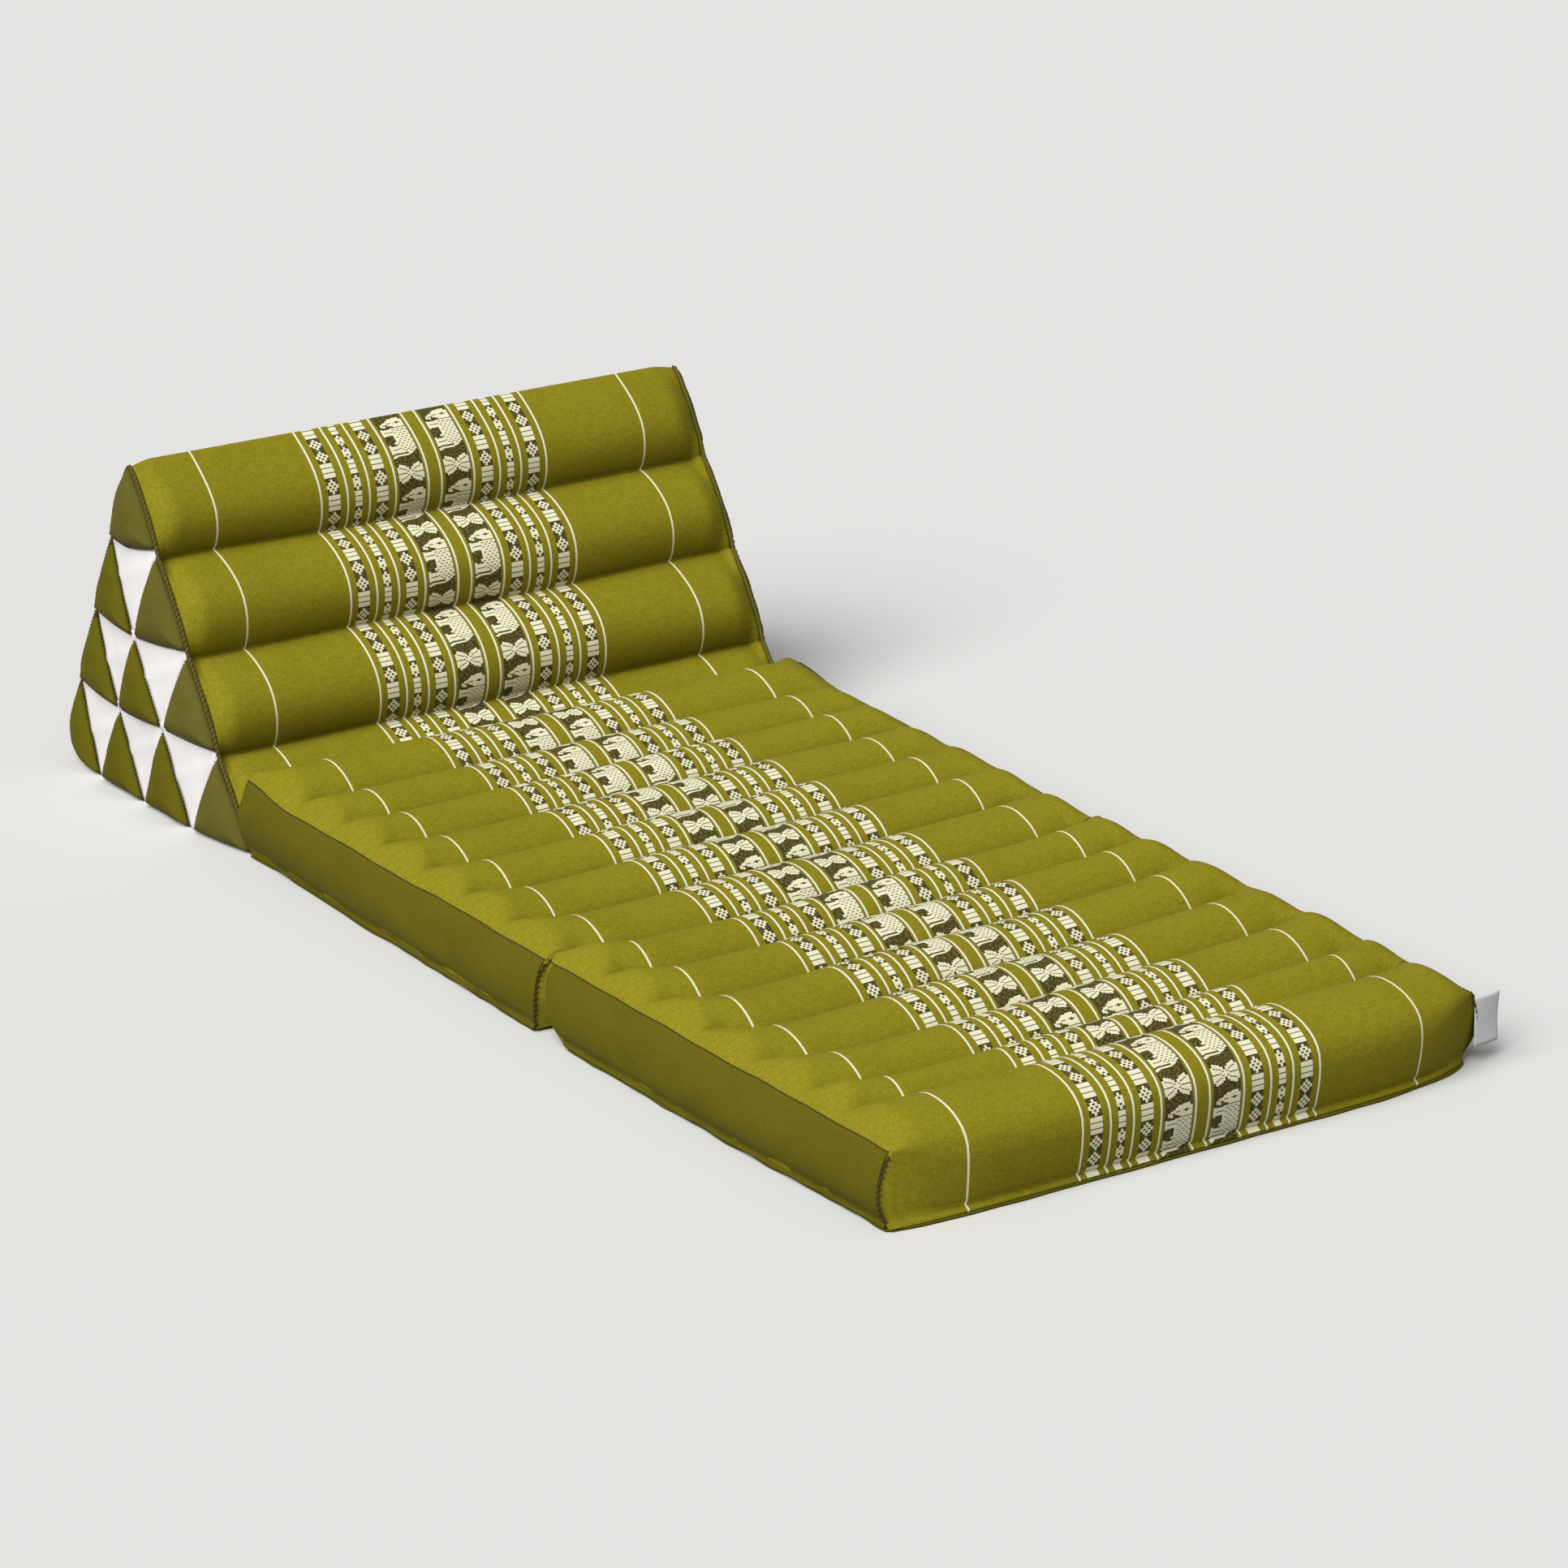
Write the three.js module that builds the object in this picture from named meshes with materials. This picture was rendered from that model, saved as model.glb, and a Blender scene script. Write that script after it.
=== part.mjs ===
// Thai folding cushion mat: a triangular backrest cushion with two fold-out mats sewn to it, laid out flat.
// Units are millimetres. +X runs across the width, +Y from the foot end to the backrest, +Z up.
// Y starts at the front edge of the backrest, and the last lines move the origin to the middle of the base.
import * as THREE from "three";
import { mergeVertices } from "three/addons/utils/BufferGeometryUtils.js";

// Driving dimensions
const WIDTH = 500; // over the side seams
const CLOTH = 1.5; // thickness of a single cloth
const GAP = 0.3; // between neighbouring pieces
const SEAM_HEIGHT = 54; // top seam of a mat's side boxing above the floor
const HALF = WIDTH / 2;

const WEDGE = {
  base: 317, // front edge to back edge, on the floor
  apexY: 171, // how far the top edge lies behind the front edge
  apexZ: 277, // height of the top edge
  rolls: 4, // sewn channels on each face
  rollRise: 15, // how far a filled channel stands out of its face
  seamDepth: 4, // how far a channel seam is pulled into the face
  fullness: 0.75, // 1 makes a channel's section a half sine, and less makes it fuller
  floorGroove: 3, // height of a channel seam above the floor
  fade: 34, // width over which the channels flatten out towards an end panel
  endEdge: 2.5, // thickness of an end panel at its seam
  endCrown: 12, // how far an end panel is filled out at its middle
  endFullness: 0.7, // 1 makes its section a parabola, and less makes it fuller
};

const MAT = {
  rolls: 7, // sewn channels
  crownZ: 70, // top of a channel above the floor
  seamZ: 50, // bottom of the seam between two channels
  fullness: 0.65, // 1 makes a channel's section a half sine, and less makes it fuller
  shoulder: 45, // width over which the top rounds down to a side seam
  creaseStart: 18, // a channel seam begins this far in from the side seam
  creaseFull: 60, // and has its full depth this far in
  sideBulge: 8, // how far the side boxing is filled out
  lip: 4, // seam allowance that stands out round the base
  endFlat: 0.15, // share of an end's height that stays flat below its top seam
  tuckPower: 1.5, // a higher power tucks an end in closer to the floor
  bowPower: 6, // a higher power keeps the foot's bow full nearer to its corners
  bowAtTop: 0.5, // share of the foot's bow that is left at its top seam
  bowShoulder: 0.6, // share of the height at which the bow starts to draw back
};

// The end faces of each mat: where their top edges lie, how far the back one is tucked in at the floor,
// how far each is filled out, how far the foot end bows out at mid-width, and the foot's own seam allowance.
const MATS = [
  { name: "mat_1", backY: -8, footY: -457, backTuck: 0, backFill: 5, footFill: 2, footBow: 0, footLip: 0 },
  { name: "mat_2", backY: -469, footY: -899, backTuck: 36, backFill: 2, footFill: 9, footBow: 13, footLip: 5 },
];

// The label stands out of the far foot corner, from a low to a high edge above the floor.
const LABEL = { outerX: 276, lowZ: 13, highZ: 50, thick: 1, inset: 2, curl: 3 };

// Mesh divisions
const WEDGE_STEPS = { aroundRoll: 5, across: 10 };
const END_STEPS = { perSide: 12, rings: 8 };
const MAT_STEPS = { perRoll: 4, across: 12, up: 4 };
const LABEL_STEPS = { out: 5, up: 6 };

// Cloths
const COVER = new THREE.MeshStandardMaterial({ color: 0x87801c, roughness: 0.8, metalness: 0 });
const PLAIN = new THREE.MeshStandardMaterial({ color: 0x6f6b1c, roughness: 0.9, metalness: 0 });
const PATCHWORK = new THREE.MeshStandardMaterial({ color: 0x5f5c1c, roughness: 0.9, metalness: 0 });
const RIBBON = new THREE.MeshStandardMaterial({ color: 0xe9e9ea, roughness: 0.5, metalness: 0 });

const { lerp, smoothstep } = THREE.MathUtils;

// Moves every vertex of a closed three.js geometry to place(x, y, z), after its shared corners are joined.
function reshape(geometry, place) {
  geometry.deleteAttribute("normal");
  geometry.deleteAttribute("uv");
  const merged = mergeVertices(geometry, 1e-4);
  const position = merged.getAttribute("position");
  for (let i = 0; i < position.count; i++) {
    const [x, y, z] = place(position.getX(i), position.getY(i), position.getZ(i));
    position.setXYZ(i, x, y, z);
  }
  merged.computeVertexNormals();
  return merged;
}

function piece(name, geometry, material) {
  const mesh = new THREE.Mesh(geometry, material);
  mesh.name = name;
  return mesh;
}

// How far round a turn the point (across, along) lies, from 0 to 1.
function turn(across, along) {
  const angle = Math.atan2(across, along) / (2 * Math.PI);
  return angle < -1e-6 ? angle + 1 : Math.max(angle, 0);
}

// ---------- backrest ----------

// The triangle of the end seams, as its floor, back and front sides in turn.
const FRONT_EDGE = new THREE.Vector2(0, 0);
const BACK_EDGE = new THREE.Vector2(WEDGE.base, 0);
const TOP_EDGE = new THREE.Vector2(WEDGE.apexY, WEDGE.apexZ);
const SIDES = [
  { from: FRONT_EDGE, to: BACK_EDGE, onFloor: true },
  { from: BACK_EDGE, to: TOP_EDGE, onFloor: false },
  { from: TOP_EDGE, to: FRONT_EDGE, onFloor: false },
];

// A point of the section at a share of the way round it, for channels from 0 (the flat triangle) to 1 (full).
function wedgeSection(share, full) {
  const whole = (share * SIDES.length) % SIDES.length;
  const side = SIDES[Math.floor(whole)];
  const along = whole - Math.floor(whole);
  const point = side.from.clone().lerp(side.to, along);
  const arch = Math.abs(Math.sin(Math.PI * along * WEDGE.rolls)) ** WEDGE.fullness;
  if (side.onFloor) {
    const atEdge = along * WEDGE.rolls < 1e-3;
    point.y = atEdge ? 0 : WEDGE.floorGroove * full * Math.max(0, 1 - 2 * arch);
    return point;
  }
  const direction = side.to.clone().sub(side.from).normalize();
  const outward = new THREE.Vector2(direction.y, -direction.x);
  const fromEdge = Math.min(1, WEDGE.rolls * Math.min(along, 1 - along));
  const pulledIn = -WEDGE.seamDepth * fromEdge * (1 - arch);
  return point.addScaledVector(outward, full * (pulledIn + WEDGE.rollRise * arch));
}

function wedgeCushion() {
  const half = HALF - WEDGE.endEdge - GAP;
  const around = SIDES.length * WEDGE.rolls * WEDGE_STEPS.aroundRoll;
  const centre = new THREE.Vector2().add(FRONT_EDGE).add(BACK_EDGE).add(TOP_EDGE).divideScalar(3);
  const drum = new THREE.CylinderGeometry(1, 1, 2, around, WEDGE_STEPS.across);
  return reshape(drum, (x, y, z) => {
    const across = half * Math.sin((y * Math.PI) / 2); // closer together towards the ends
    const isCapCentre = Math.hypot(x, z) < 0.5;
    if (isCapCentre) return [across, centre.x, centre.y];
    const full = Math.sqrt(smoothstep(half - Math.abs(across), 0, WEDGE.fade));
    const point = wedgeSection(turn(x, z), full);
    return [across, point.x, point.y];
  });
}

// An end panel has a flat inner face on the cushion and a filled-out outer face.
function wedgeEnd(direction) {
  const around = SIDES.length * END_STEPS.perSide;
  const ball = new THREE.SphereGeometry(1, around, END_STEPS.rings);
  const firstInnerRing = Math.sin(Math.PI / 2 + Math.PI / END_STEPS.rings);
  const centre = new THREE.Vector2().add(FRONT_EDGE).add(BACK_EDGE).add(TOP_EDGE).divideScalar(3);
  return reshape(ball, (x, y, z) => {
    const ring = Math.hypot(x, z);
    const isInner = y < -1e-6;
    const reach = isInner ? Math.min(1, ring / firstInnerRing) : ring;
    const outline = ring < 1e-6 ? centre : wedgeSection(turn(direction * x, z), 0);
    const point = centre.clone().lerp(outline, reach);
    const crown = Math.max(0, 1 - reach * reach) ** WEDGE.endFullness;
    const filled = WEDGE.endEdge + WEDGE.endCrown * crown;
    const outwards = isInner ? 0 : filled;
    return [direction * (HALF - WEDGE.endEdge + outwards), point.x, point.y];
  });
}

// ---------- mats ----------

// Height of a mat's top at a distance from its middle line and a share of its length.
function topHeight(across, share) {
  const inset = HALF - CLOTH - GAP - Math.abs(across);
  const rounding = Math.sin((Math.min(1, inset / MAT.shoulder) * Math.PI) / 2);
  const ridge = SEAM_HEIGHT + (MAT.crownZ - SEAM_HEIGHT) * rounding;
  const crease = smoothstep(inset, MAT.creaseStart, MAT.creaseFull);
  const valley = SEAM_HEIGHT + (MAT.seamZ - SEAM_HEIGHT) * crease;
  const arch = Math.abs(Math.sin(Math.PI * share * MAT.rolls)) ** MAT.fullness;
  return lerp(valley, ridge, arch);
}

// Shape of a filled end or side against its height, flat near the top seam of an end.
const endFill = (up) => Math.sin(Math.PI * Math.min(1, up / (1 - MAT.endFlat))) ** 2;
const sideFill = (up) => Math.sin(Math.PI * up);

function backFace(mat, up) {
  return mat.backY - mat.backTuck * (1 - up) ** MAT.tuckPower + mat.backFill * endFill(up);
}

function footFace(mat, up, across) {
  const bow = mat.footBow * (1 - Math.min(1, Math.abs(across) / HALF) ** MAT.bowPower);
  const drawnBack = lerp(1, MAT.bowAtTop, smoothstep(up, MAT.bowShoulder, 1));
  return mat.footY - bow * drawnBack - mat.footFill * endFill(up);
}

const CUSHION_HALF = HALF - CLOTH - GAP;
const CUSHION_LOW = CLOTH + GAP;

const sideX = (up) => CUSHION_HALF + MAT.sideBulge * sideFill(up);

function matCushion(mat) {
  const { perRoll, across, up: levels } = MAT_STEPS;
  const box = new THREE.BoxGeometry(2, 1, 1, across, MAT.rolls * perRoll, levels);
  return reshape(box, (x, y, z) => {
    const share = 0.5 - y; // 0 at the back, 1 at the foot
    const up = z + 0.5;
    const spread = Math.sin((x * Math.PI) / 2); // closer together towards the sides
    const flat = CUSHION_HALF * spread;
    const top = topHeight(flat, share);
    const ends = [backFace(mat, up), footFace(mat, up, flat)];
    const filled = flat + spread * (sideX(up) - CUSHION_HALF);
    return [filled, lerp(ends[0], ends[1], share), lerp(CUSHION_LOW, top, up)];
  });
}

// The boxing strip follows the cushion's side, one cloth thick.
function matSide(mat, direction) {
  const box = new THREE.BoxGeometry(1, 1, 1, 1, 1, MAT_STEPS.up);
  return reshape(box, (x, y, z) => {
    const share = 0.5 - y;
    const up = z + 0.5;
    const outwards = GAP + (0.5 + direction * x) * CLOTH;
    const along = lerp(backFace(mat, up), footFace(mat, up, HALF), share);
    return [direction * (sideX(up) + outwards), along, lerp(CUSHION_LOW, SEAM_HEIGHT, up)];
  });
}

// The base panel lies on the floor, and its seam allowance stands out at both sides, and at a free foot end.
function matBase(mat) {
  const half = HALF + MAT.lip;
  const corner = MAT.lip;
  const back = mat.backY - mat.backTuck;
  const outline = new THREE.Shape();
  outline.moveTo(-half, back);
  outline.lineTo(-half, mat.footY + corner);
  const bowSteps = 16;
  for (let i = 0; i <= bowSteps; i++) {
    const across = lerp(-HALF, HALF, i / bowSteps);
    outline.lineTo(across, footFace(mat, 0, across) - mat.footLip);
  }
  outline.lineTo(half, mat.footY + corner);
  outline.lineTo(half, back);
  outline.closePath();
  return new THREE.ExtrudeGeometry(outline, { depth: CLOTH, bevelEnabled: false });
}

// ---------- hinges and label ----------

function matHinge() {
  const [front, rear] = [MATS[1].backY + GAP, MATS[0].footY - GAP];
  const half = CUSHION_HALF - 1;
  const drop = 1; // the strip lies this far below the two top edges
  const strip = new THREE.BoxGeometry(2, 1, 1, MAT_STEPS.across, 1, 1);
  return reshape(strip, (x, y, z) => {
    const across = half * Math.sin((x * Math.PI) / 2);
    const top = topHeight(across, 0) - drop;
    return [across, lerp(front, rear, y + 0.5), top + (z - 0.5) * CLOTH];
  });
}

function wedgeHinge() {
  const [front, rear] = [MATS[0].backY + GAP, -GAP];
  const strip = new THREE.BoxGeometry(2 * CUSHION_HALF, rear - front, CLOTH);
  strip.translate(0, (front + rear) / 2, CLOTH / 2);
  return strip;
}

// The ribbon stands out of the far foot corner's seam and curls a little towards the back.
function ribbon() {
  const strip = new THREE.BoxGeometry(1, 1, 1, LABEL_STEPS.out, 1, LABEL_STEPS.up);
  return reshape(strip, (x, y, z) => {
    const out = x + 0.5;
    const height = lerp(LABEL.lowZ, LABEL.highZ, z + 0.5);
    const boxing = sideX((height - CUSHION_LOW) / (SEAM_HEIGHT - CUSHION_LOW)) + GAP + CLOTH;
    const along = MATS[1].footY + LABEL.inset + LABEL.curl * out * out + y * LABEL.thick;
    return [lerp(boxing + 2 * GAP, LABEL.outerX, out), along, height];
  });
}

// ---------- assembly ----------

const backrest = new THREE.Group();
backrest.add(piece("wedge_cushion", wedgeCushion(), COVER));
backrest.add(piece("wedge_end_near", wedgeEnd(-1), PATCHWORK));
backrest.add(piece("wedge_end_far", wedgeEnd(1), PATCHWORK));

const foldOut = new THREE.Group();
for (const mat of MATS) {
  foldOut.add(piece(`${mat.name}_cushion`, matCushion(mat), COVER));
  foldOut.add(piece(`${mat.name}_side_near`, matSide(mat, -1), PLAIN));
  foldOut.add(piece(`${mat.name}_side_far`, matSide(mat, 1), PLAIN));
  foldOut.add(piece(`${mat.name}_base`, matBase(mat), PLAIN));
}

const fittings = new THREE.Group();
fittings.add(piece("hinge_wedge_mat", wedgeHinge(), PLAIN));
fittings.add(piece("hinge_mats", matHinge(), COVER));
fittings.add(piece("label", ribbon(), RIBBON));

const placed = new THREE.Group();
placed.add(backrest, foldOut, fittings);
const middle = new THREE.Box3().setFromObject(placed).getCenter(new THREE.Vector3());
placed.position.set(-middle.x, -middle.y, 0);

const cushionMat = new THREE.Group();
cushionMat.add(placed);

export default cushionMat;
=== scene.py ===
import math
from dataclasses import dataclass
from typing import NamedTuple

import bmesh
import bpy
from bpy.props import FloatProperty, FloatVectorProperty, IntProperty, PointerProperty
from mathutils import Matrix, Vector, noise


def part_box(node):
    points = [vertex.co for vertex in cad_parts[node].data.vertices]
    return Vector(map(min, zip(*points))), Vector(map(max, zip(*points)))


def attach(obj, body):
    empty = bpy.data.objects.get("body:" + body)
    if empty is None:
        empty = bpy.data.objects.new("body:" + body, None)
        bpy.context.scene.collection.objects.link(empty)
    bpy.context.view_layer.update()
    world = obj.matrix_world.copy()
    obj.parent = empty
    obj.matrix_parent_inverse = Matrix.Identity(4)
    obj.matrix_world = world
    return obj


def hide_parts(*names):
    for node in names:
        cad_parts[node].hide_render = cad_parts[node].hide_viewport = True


bl_info = {
    "name": "Thai folding cushion mat",
    "version": (1, 0, 0),
    "blender": (4, 5, 0),
    "location": "3D View > Sidebar > Cushion mat",
    "description": "Builds a triangular backrest cushion with two channelled mats that fold out of it",
    "category": "Object",
}

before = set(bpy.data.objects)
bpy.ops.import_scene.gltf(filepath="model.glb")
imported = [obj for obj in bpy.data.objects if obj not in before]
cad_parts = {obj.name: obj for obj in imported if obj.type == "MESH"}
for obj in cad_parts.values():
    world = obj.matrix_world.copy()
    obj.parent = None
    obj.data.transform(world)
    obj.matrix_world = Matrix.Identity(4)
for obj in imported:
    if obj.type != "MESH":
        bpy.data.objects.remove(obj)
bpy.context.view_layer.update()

WEDGE_LOW, WEDGE_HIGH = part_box("wedge_cushion")
MM = 0.001
TINY = 1e-6

# Everything is laid out from the middle of the backrest's front edge, on the floor.
MIDDLE_X = (WEDGE_LOW.x + WEDGE_HIGH.x) / 2
FRONT_Y = WEDGE_LOW.y
SIDES = {"near": -1, "far": 1}


def lerp(a, b, share):
    return a + (b - a) * share


def smooth(value, low, high):
    """0 below low, 1 above high, and a soft step between them."""
    share = min(1, max(0, (value - low) / (high - low)))
    return share * share * (3 - 2 * share)


def eased(share):
    """A share from 0 to 1 that runs slower towards both ends."""
    return (1 - math.cos(math.pi * share)) / 2


def arc(share):
    """0 at both ends of a share from 0 to 1, and 1 halfway."""
    return math.sin(math.pi * share)


def bell(distance, width):
    """1 at no distance, and fading out over about this width."""
    return math.exp(-(distance / width) ** 2)


# Each seed has its own plane of the noise, whose values are scaled to lie between about -1 and 1.
NOISE_PLANE = 0.37
NOISE_STEP = 7.3
NOISE_SCALE = 1.6


class Ripple(NamedTuple):
    """Soft unevenness of the cloth that is the same on each run: how high it is, and how close both ways."""

    height: float
    along: float
    across: float
    seed: float = 0.0

    def at(self, along, across=0.0, shift=0.0):
        plane = (self.seed + shift) * NOISE_STEP + NOISE_PLANE
        value = noise.noise(Vector((along * self.along, across * self.across, plane)))
        return self.height * value * NOISE_SCALE


def linear(red, green, blue):
    """A colour written from 0 to 255, as Blender stores it."""
    def channel(value):
        share = value / 255
        return share / 12.92 if share <= 0.04045 else ((share + 0.055) / 1.055) ** 2.4
    return (channel(red), channel(green), channel(blue))


# ---------- sizes, weave and colours ----------

def length(name, description, millimetres):
    return FloatProperty(
        name=name, description=description, default=millimetres * MM, min=0.0, unit="LENGTH", precision=4
    )


def colour(name, description, red, green, blue):
    return FloatVectorProperty(
        name=name, description=description, default=linear(red, green, blue),
        subtype="COLOR", size=3, min=0.0, max=1.0,
    )


class BackrestSizes(bpy.types.PropertyGroup):
    base: FloatProperty(
        name="Base", description="Depth of the backrest on the floor",
        default=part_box("wedge_end_near")[1].y - FRONT_Y, unit="LENGTH",
    )
    height: FloatProperty(
        name="Height", description="Height of the top edge",
        default=WEDGE_HIGH.z, unit="LENGTH",
    )
    top_edge: length("Top edge", "How far the top edge lies behind the front edge", 171)
    half_width: FloatProperty(
        name="Half width", description="From the middle to an end seam",
        default=WEDGE_HIGH.x - MIDDLE_X, unit="LENGTH",
    )
    rolls: IntProperty(name="Channels", description="Sewn channels on each face", default=4, min=1)
    roll_rise: length("Channel rise", "How far a filled channel stands out of its face", 17)
    seam_depth: length("Seam depth", "How far a channel seam is pulled into the face", 9)
    ridge_drop: length("Ridge drop", "How far the top edge rounds down at an end", 5)
    fade: length("Fade", "Width over which the channels flatten out towards an end", 20)
    end_crown: length("End crown", "How far an end is filled out at its middle", 8)
    pad_crown: length("Pad crown", "How far each triangle of the patchwork is filled out", 11)


class MatSizes(bpy.types.PropertyGroup):
    rolls: IntProperty(name="Channels", description="Sewn channels on each mat", default=7, min=1)
    crown: FloatProperty(
        name="Crown", description="Height of the channels",
        default=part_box("mat_1_cushion")[1].z, unit="LENGTH",
    )
    seam: FloatProperty(
        name="Seam", description="Height of the top seam of the side boxing",
        default=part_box("mat_1_side_near")[1].z, unit="LENGTH",
    )
    half_width: length("Half width", "From the middle to the side seam", 248.2)
    shoulder: length("Shoulder", "Width over which the top rounds down to a side seam", 27)
    crease_start: length("Crease start", "A channel seam begins this far in from the side seam", 5)
    crease_full: length("Crease full", "And it has its full depth this far in", 32)
    side_bulge: length("Side bulge", "How far the side boxing is filled out", 8)
    cloth: length("Cloth", "Thickness of the boxing and the base cloth", 1.3)
    lip: length("Lip", "Seam allowance that stands out round the base", 1.2)


class Weave(bpy.types.PropertyGroup):
    row: length("Row", "Height of one row of the woven motifs", 0.739)
    column: length("Column", "Width of one column of the woven motifs", 2.1)
    line: length("Line", "Width of a cream line", 1.9)
    outer_line: length("Outer line", "Distance of the outer cream lines from the middle", 196)
    outer_width: length("Outer line width", "Width of an outer cream line", 1.7)


class Colours(bpy.types.PropertyGroup):
    cover: colour("Cover", "Patterned cotton of the channels", 148, 139, 30)
    # Plain cotton: a duller cloth than the cover, set darker still to paint shade on the boxing's upright
    # sides; the base and most filled triangles share this tone.
    plain: colour("Boxing", "Plain cotton of the boxing, the base and most filled triangles", 100, 94, 17)
    # Painted sheen: the front triangles are the same cloth as the others, coloured browner where their nap
    # lies another way; the piping shares this tone.
    patch: colour("Patch", "Plain cotton of the filled triangles along the front", 104, 97, 38)
    white: colour("White patch", "White cotton between the triangles", 252, 249, 248)
    cream: colour("Cream", "Raised cream weft of the motifs", 250, 247, 212)
    ground: colour("Ground", "Dark ground behind the motifs", 66, 58, 26)
    fleck: colour("Fleck", "Light flecks in the dark ground", 128, 122, 66)
    thread: colour("Thread", "Sewing thread", 52, 44, 14)
    ribbon: colour("Ribbon", "Blank satin label", 236, 236, 238)
    floor: colour("Floor", "Studio floor", 234, 233, 231)


# ---------- shader graphs ----------

class Value:
    """A node's output socket, so that shader maths reads as an expression."""

    def __init__(self, graph, socket):
        self.graph = graph
        self.socket = socket

    def __add__(self, other):
        return self.graph.math("ADD", self, other)

    __radd__ = __add__

    def __sub__(self, other):
        return self.graph.math("SUBTRACT", self, other)

    def __rsub__(self, other):
        return self.graph.math("SUBTRACT", other, self)

    def __mul__(self, other):
        return self.graph.math("MULTIPLY", self, other)

    __rmul__ = __mul__

    def __truediv__(self, other):
        return self.graph.math("DIVIDE", self, other)

    def __lt__(self, other):
        return self.graph.math("LESS_THAN", self, other)

    def __gt__(self, other):
        return self.graph.math("GREATER_THAN", self, other)

    def __abs__(self):
        return self.graph.math("ABSOLUTE", self)

    def whole(self):
        return self.graph.math("FLOOR", self)

    def part(self):
        return self.graph.math("FRACT", self)


# Where a Mix node has its share and its two colours, and the mixed colour.
MIX_INPUTS = (0, 6, 7)
MIX_OUTPUT = 2


class Graph:
    """The node tree of one new material or world."""

    def __init__(self, owner):
        self.owner = owner
        owner.use_nodes = True
        self.tree = owner.node_tree
        self.tree.nodes.clear()

    def feed(self, socket, value):
        """Links an output to a socket, or sets the socket's own value."""
        if isinstance(value, Value):
            self.tree.links.new(value.socket, socket)
        else:
            socket.default_value = value

    def node(self, kind, settings=None, **inputs):
        """Adds a node: its settings first, and then the values or links of its sockets."""
        made = self.tree.nodes.new(kind)
        for name, value in (settings or {}).items():
            if name == "stops":
                fill_ramp(made.color_ramp, value)
            else:
                setattr(made, name, value)
        for name, value in inputs.items():
            self.feed(find_input(made, name), value)
        return made

    def output(self, made, name):
        return Value(self, made.outputs[name])

    def math(self, operation, *values):
        made = self.node("ShaderNodeMath", {"operation": operation})
        for socket, value in zip(made.inputs, values):
            self.feed(socket, value)
        return self.output(made, "Value")

    def ramp(self, value, low, high):
        """0 below low, 1 above high, and a straight line between them."""
        made = self.node("ShaderNodeMapRange", Value=value, From_Min=low, From_Max=high)
        return self.output(made, "Result")

    def blend(self, first, second, share):
        """Mixes two colours."""
        made = self.node("ShaderNodeMix", {"data_type": "RGBA"})
        for place, value in zip(MIX_INPUTS, (share, first, second)):
            self.feed(made.inputs[place], value)
        return Value(self, made.outputs[MIX_OUTPUT])

    def grain(self, vector, steps, detail=2.0, roughness=0.5):
        """Noise from 0 to 1, with about this many steps a metre along each axis."""
        scaled = self.node("ShaderNodeVectorMath", {"operation": "MULTIPLY"})
        for socket, value in zip(scaled.inputs, (vector, steps)):
            self.feed(socket, value)
        made = self.node(
            "ShaderNodeTexNoise", Vector=self.output(scaled, "Vector"),
            Scale=1.0, Detail=detail, Roughness=roughness,
        )
        return self.output(made, "Fac")

    def even_grain(self, steps, detail=2.0, roughness=0.5):
        """Noise from 0 to 1 that is the same along all axes of the piece."""
        return self.grain(self.position(), (steps, steps, steps), detail, roughness)

    def uv(self, name):
        return self.output(self.node("ShaderNodeUVMap", {"uv_map": name}), "UV")

    def position(self):
        return self.output(self.node("ShaderNodeTexCoord"), "Object")

    def split(self, vector):
        made = self.node("ShaderNodeSeparateXYZ", Vector=vector)
        return [self.output(made, axis) for axis in "XYZ"]

    def finish(self, base, roughness, bump, strength, distance, **constant):
        """Ends the graph in a cloth shader, and gives its material."""
        raised = self.node("ShaderNodeBump", Height=bump, Strength=strength, Distance=distance)
        shader = self.node(
            "ShaderNodeBsdfPrincipled", Base_Color=base, Roughness=roughness,
            Normal=self.output(raised, "Normal"), **constant,
        )
        self.node("ShaderNodeOutputMaterial", Surface=self.output(shader, "BSDF"))
        return self.owner

    def seen(self):
        """1 for rays from the camera, straight or by way of a glossy or clear thing, and 0 for the light."""
        rays = self.node("ShaderNodeLightPath")
        kinds = [self.output(rays, f"Is {kind} Ray") for kind in ("Camera", "Glossy", "Transmission")]
        return self.math("MINIMUM", kinds[0] + kinds[1] + kinds[2], 1.0)


def find_input(made, name):
    """The input socket with this name, its spaces written as underscores."""
    for socket in made.inputs:
        if socket.name.replace(" ", "_") == name and socket.enabled:
            return socket
    raise KeyError(f"{made.bl_idname} has no input {name}")


def fill_ramp(ramp, stops):
    """Sets a ramp's stops, which hold their colour up to the next one."""
    ramp.interpolation = "CONSTANT"
    ramp.elements[-1].position = stops[-1][0]
    ramp.elements[0].position = stops[0][0]
    for position, _ in stops[1:-1]:
        ramp.elements.new(position)
    for element, (_, value) in zip(ramp.elements, stops):
        element.color = (*value, 1.0)


def opaque(rgb):
    return (*rgb, 1.0)


def tinted(rgb, *factors):
    """A colour scaled by one factor, or by one for each of its channels."""
    if len(factors) == 1:
        factors *= 3
    return opaque([c * k for c, k in zip(rgb, factors)])


# ---------- the woven band ----------

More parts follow.
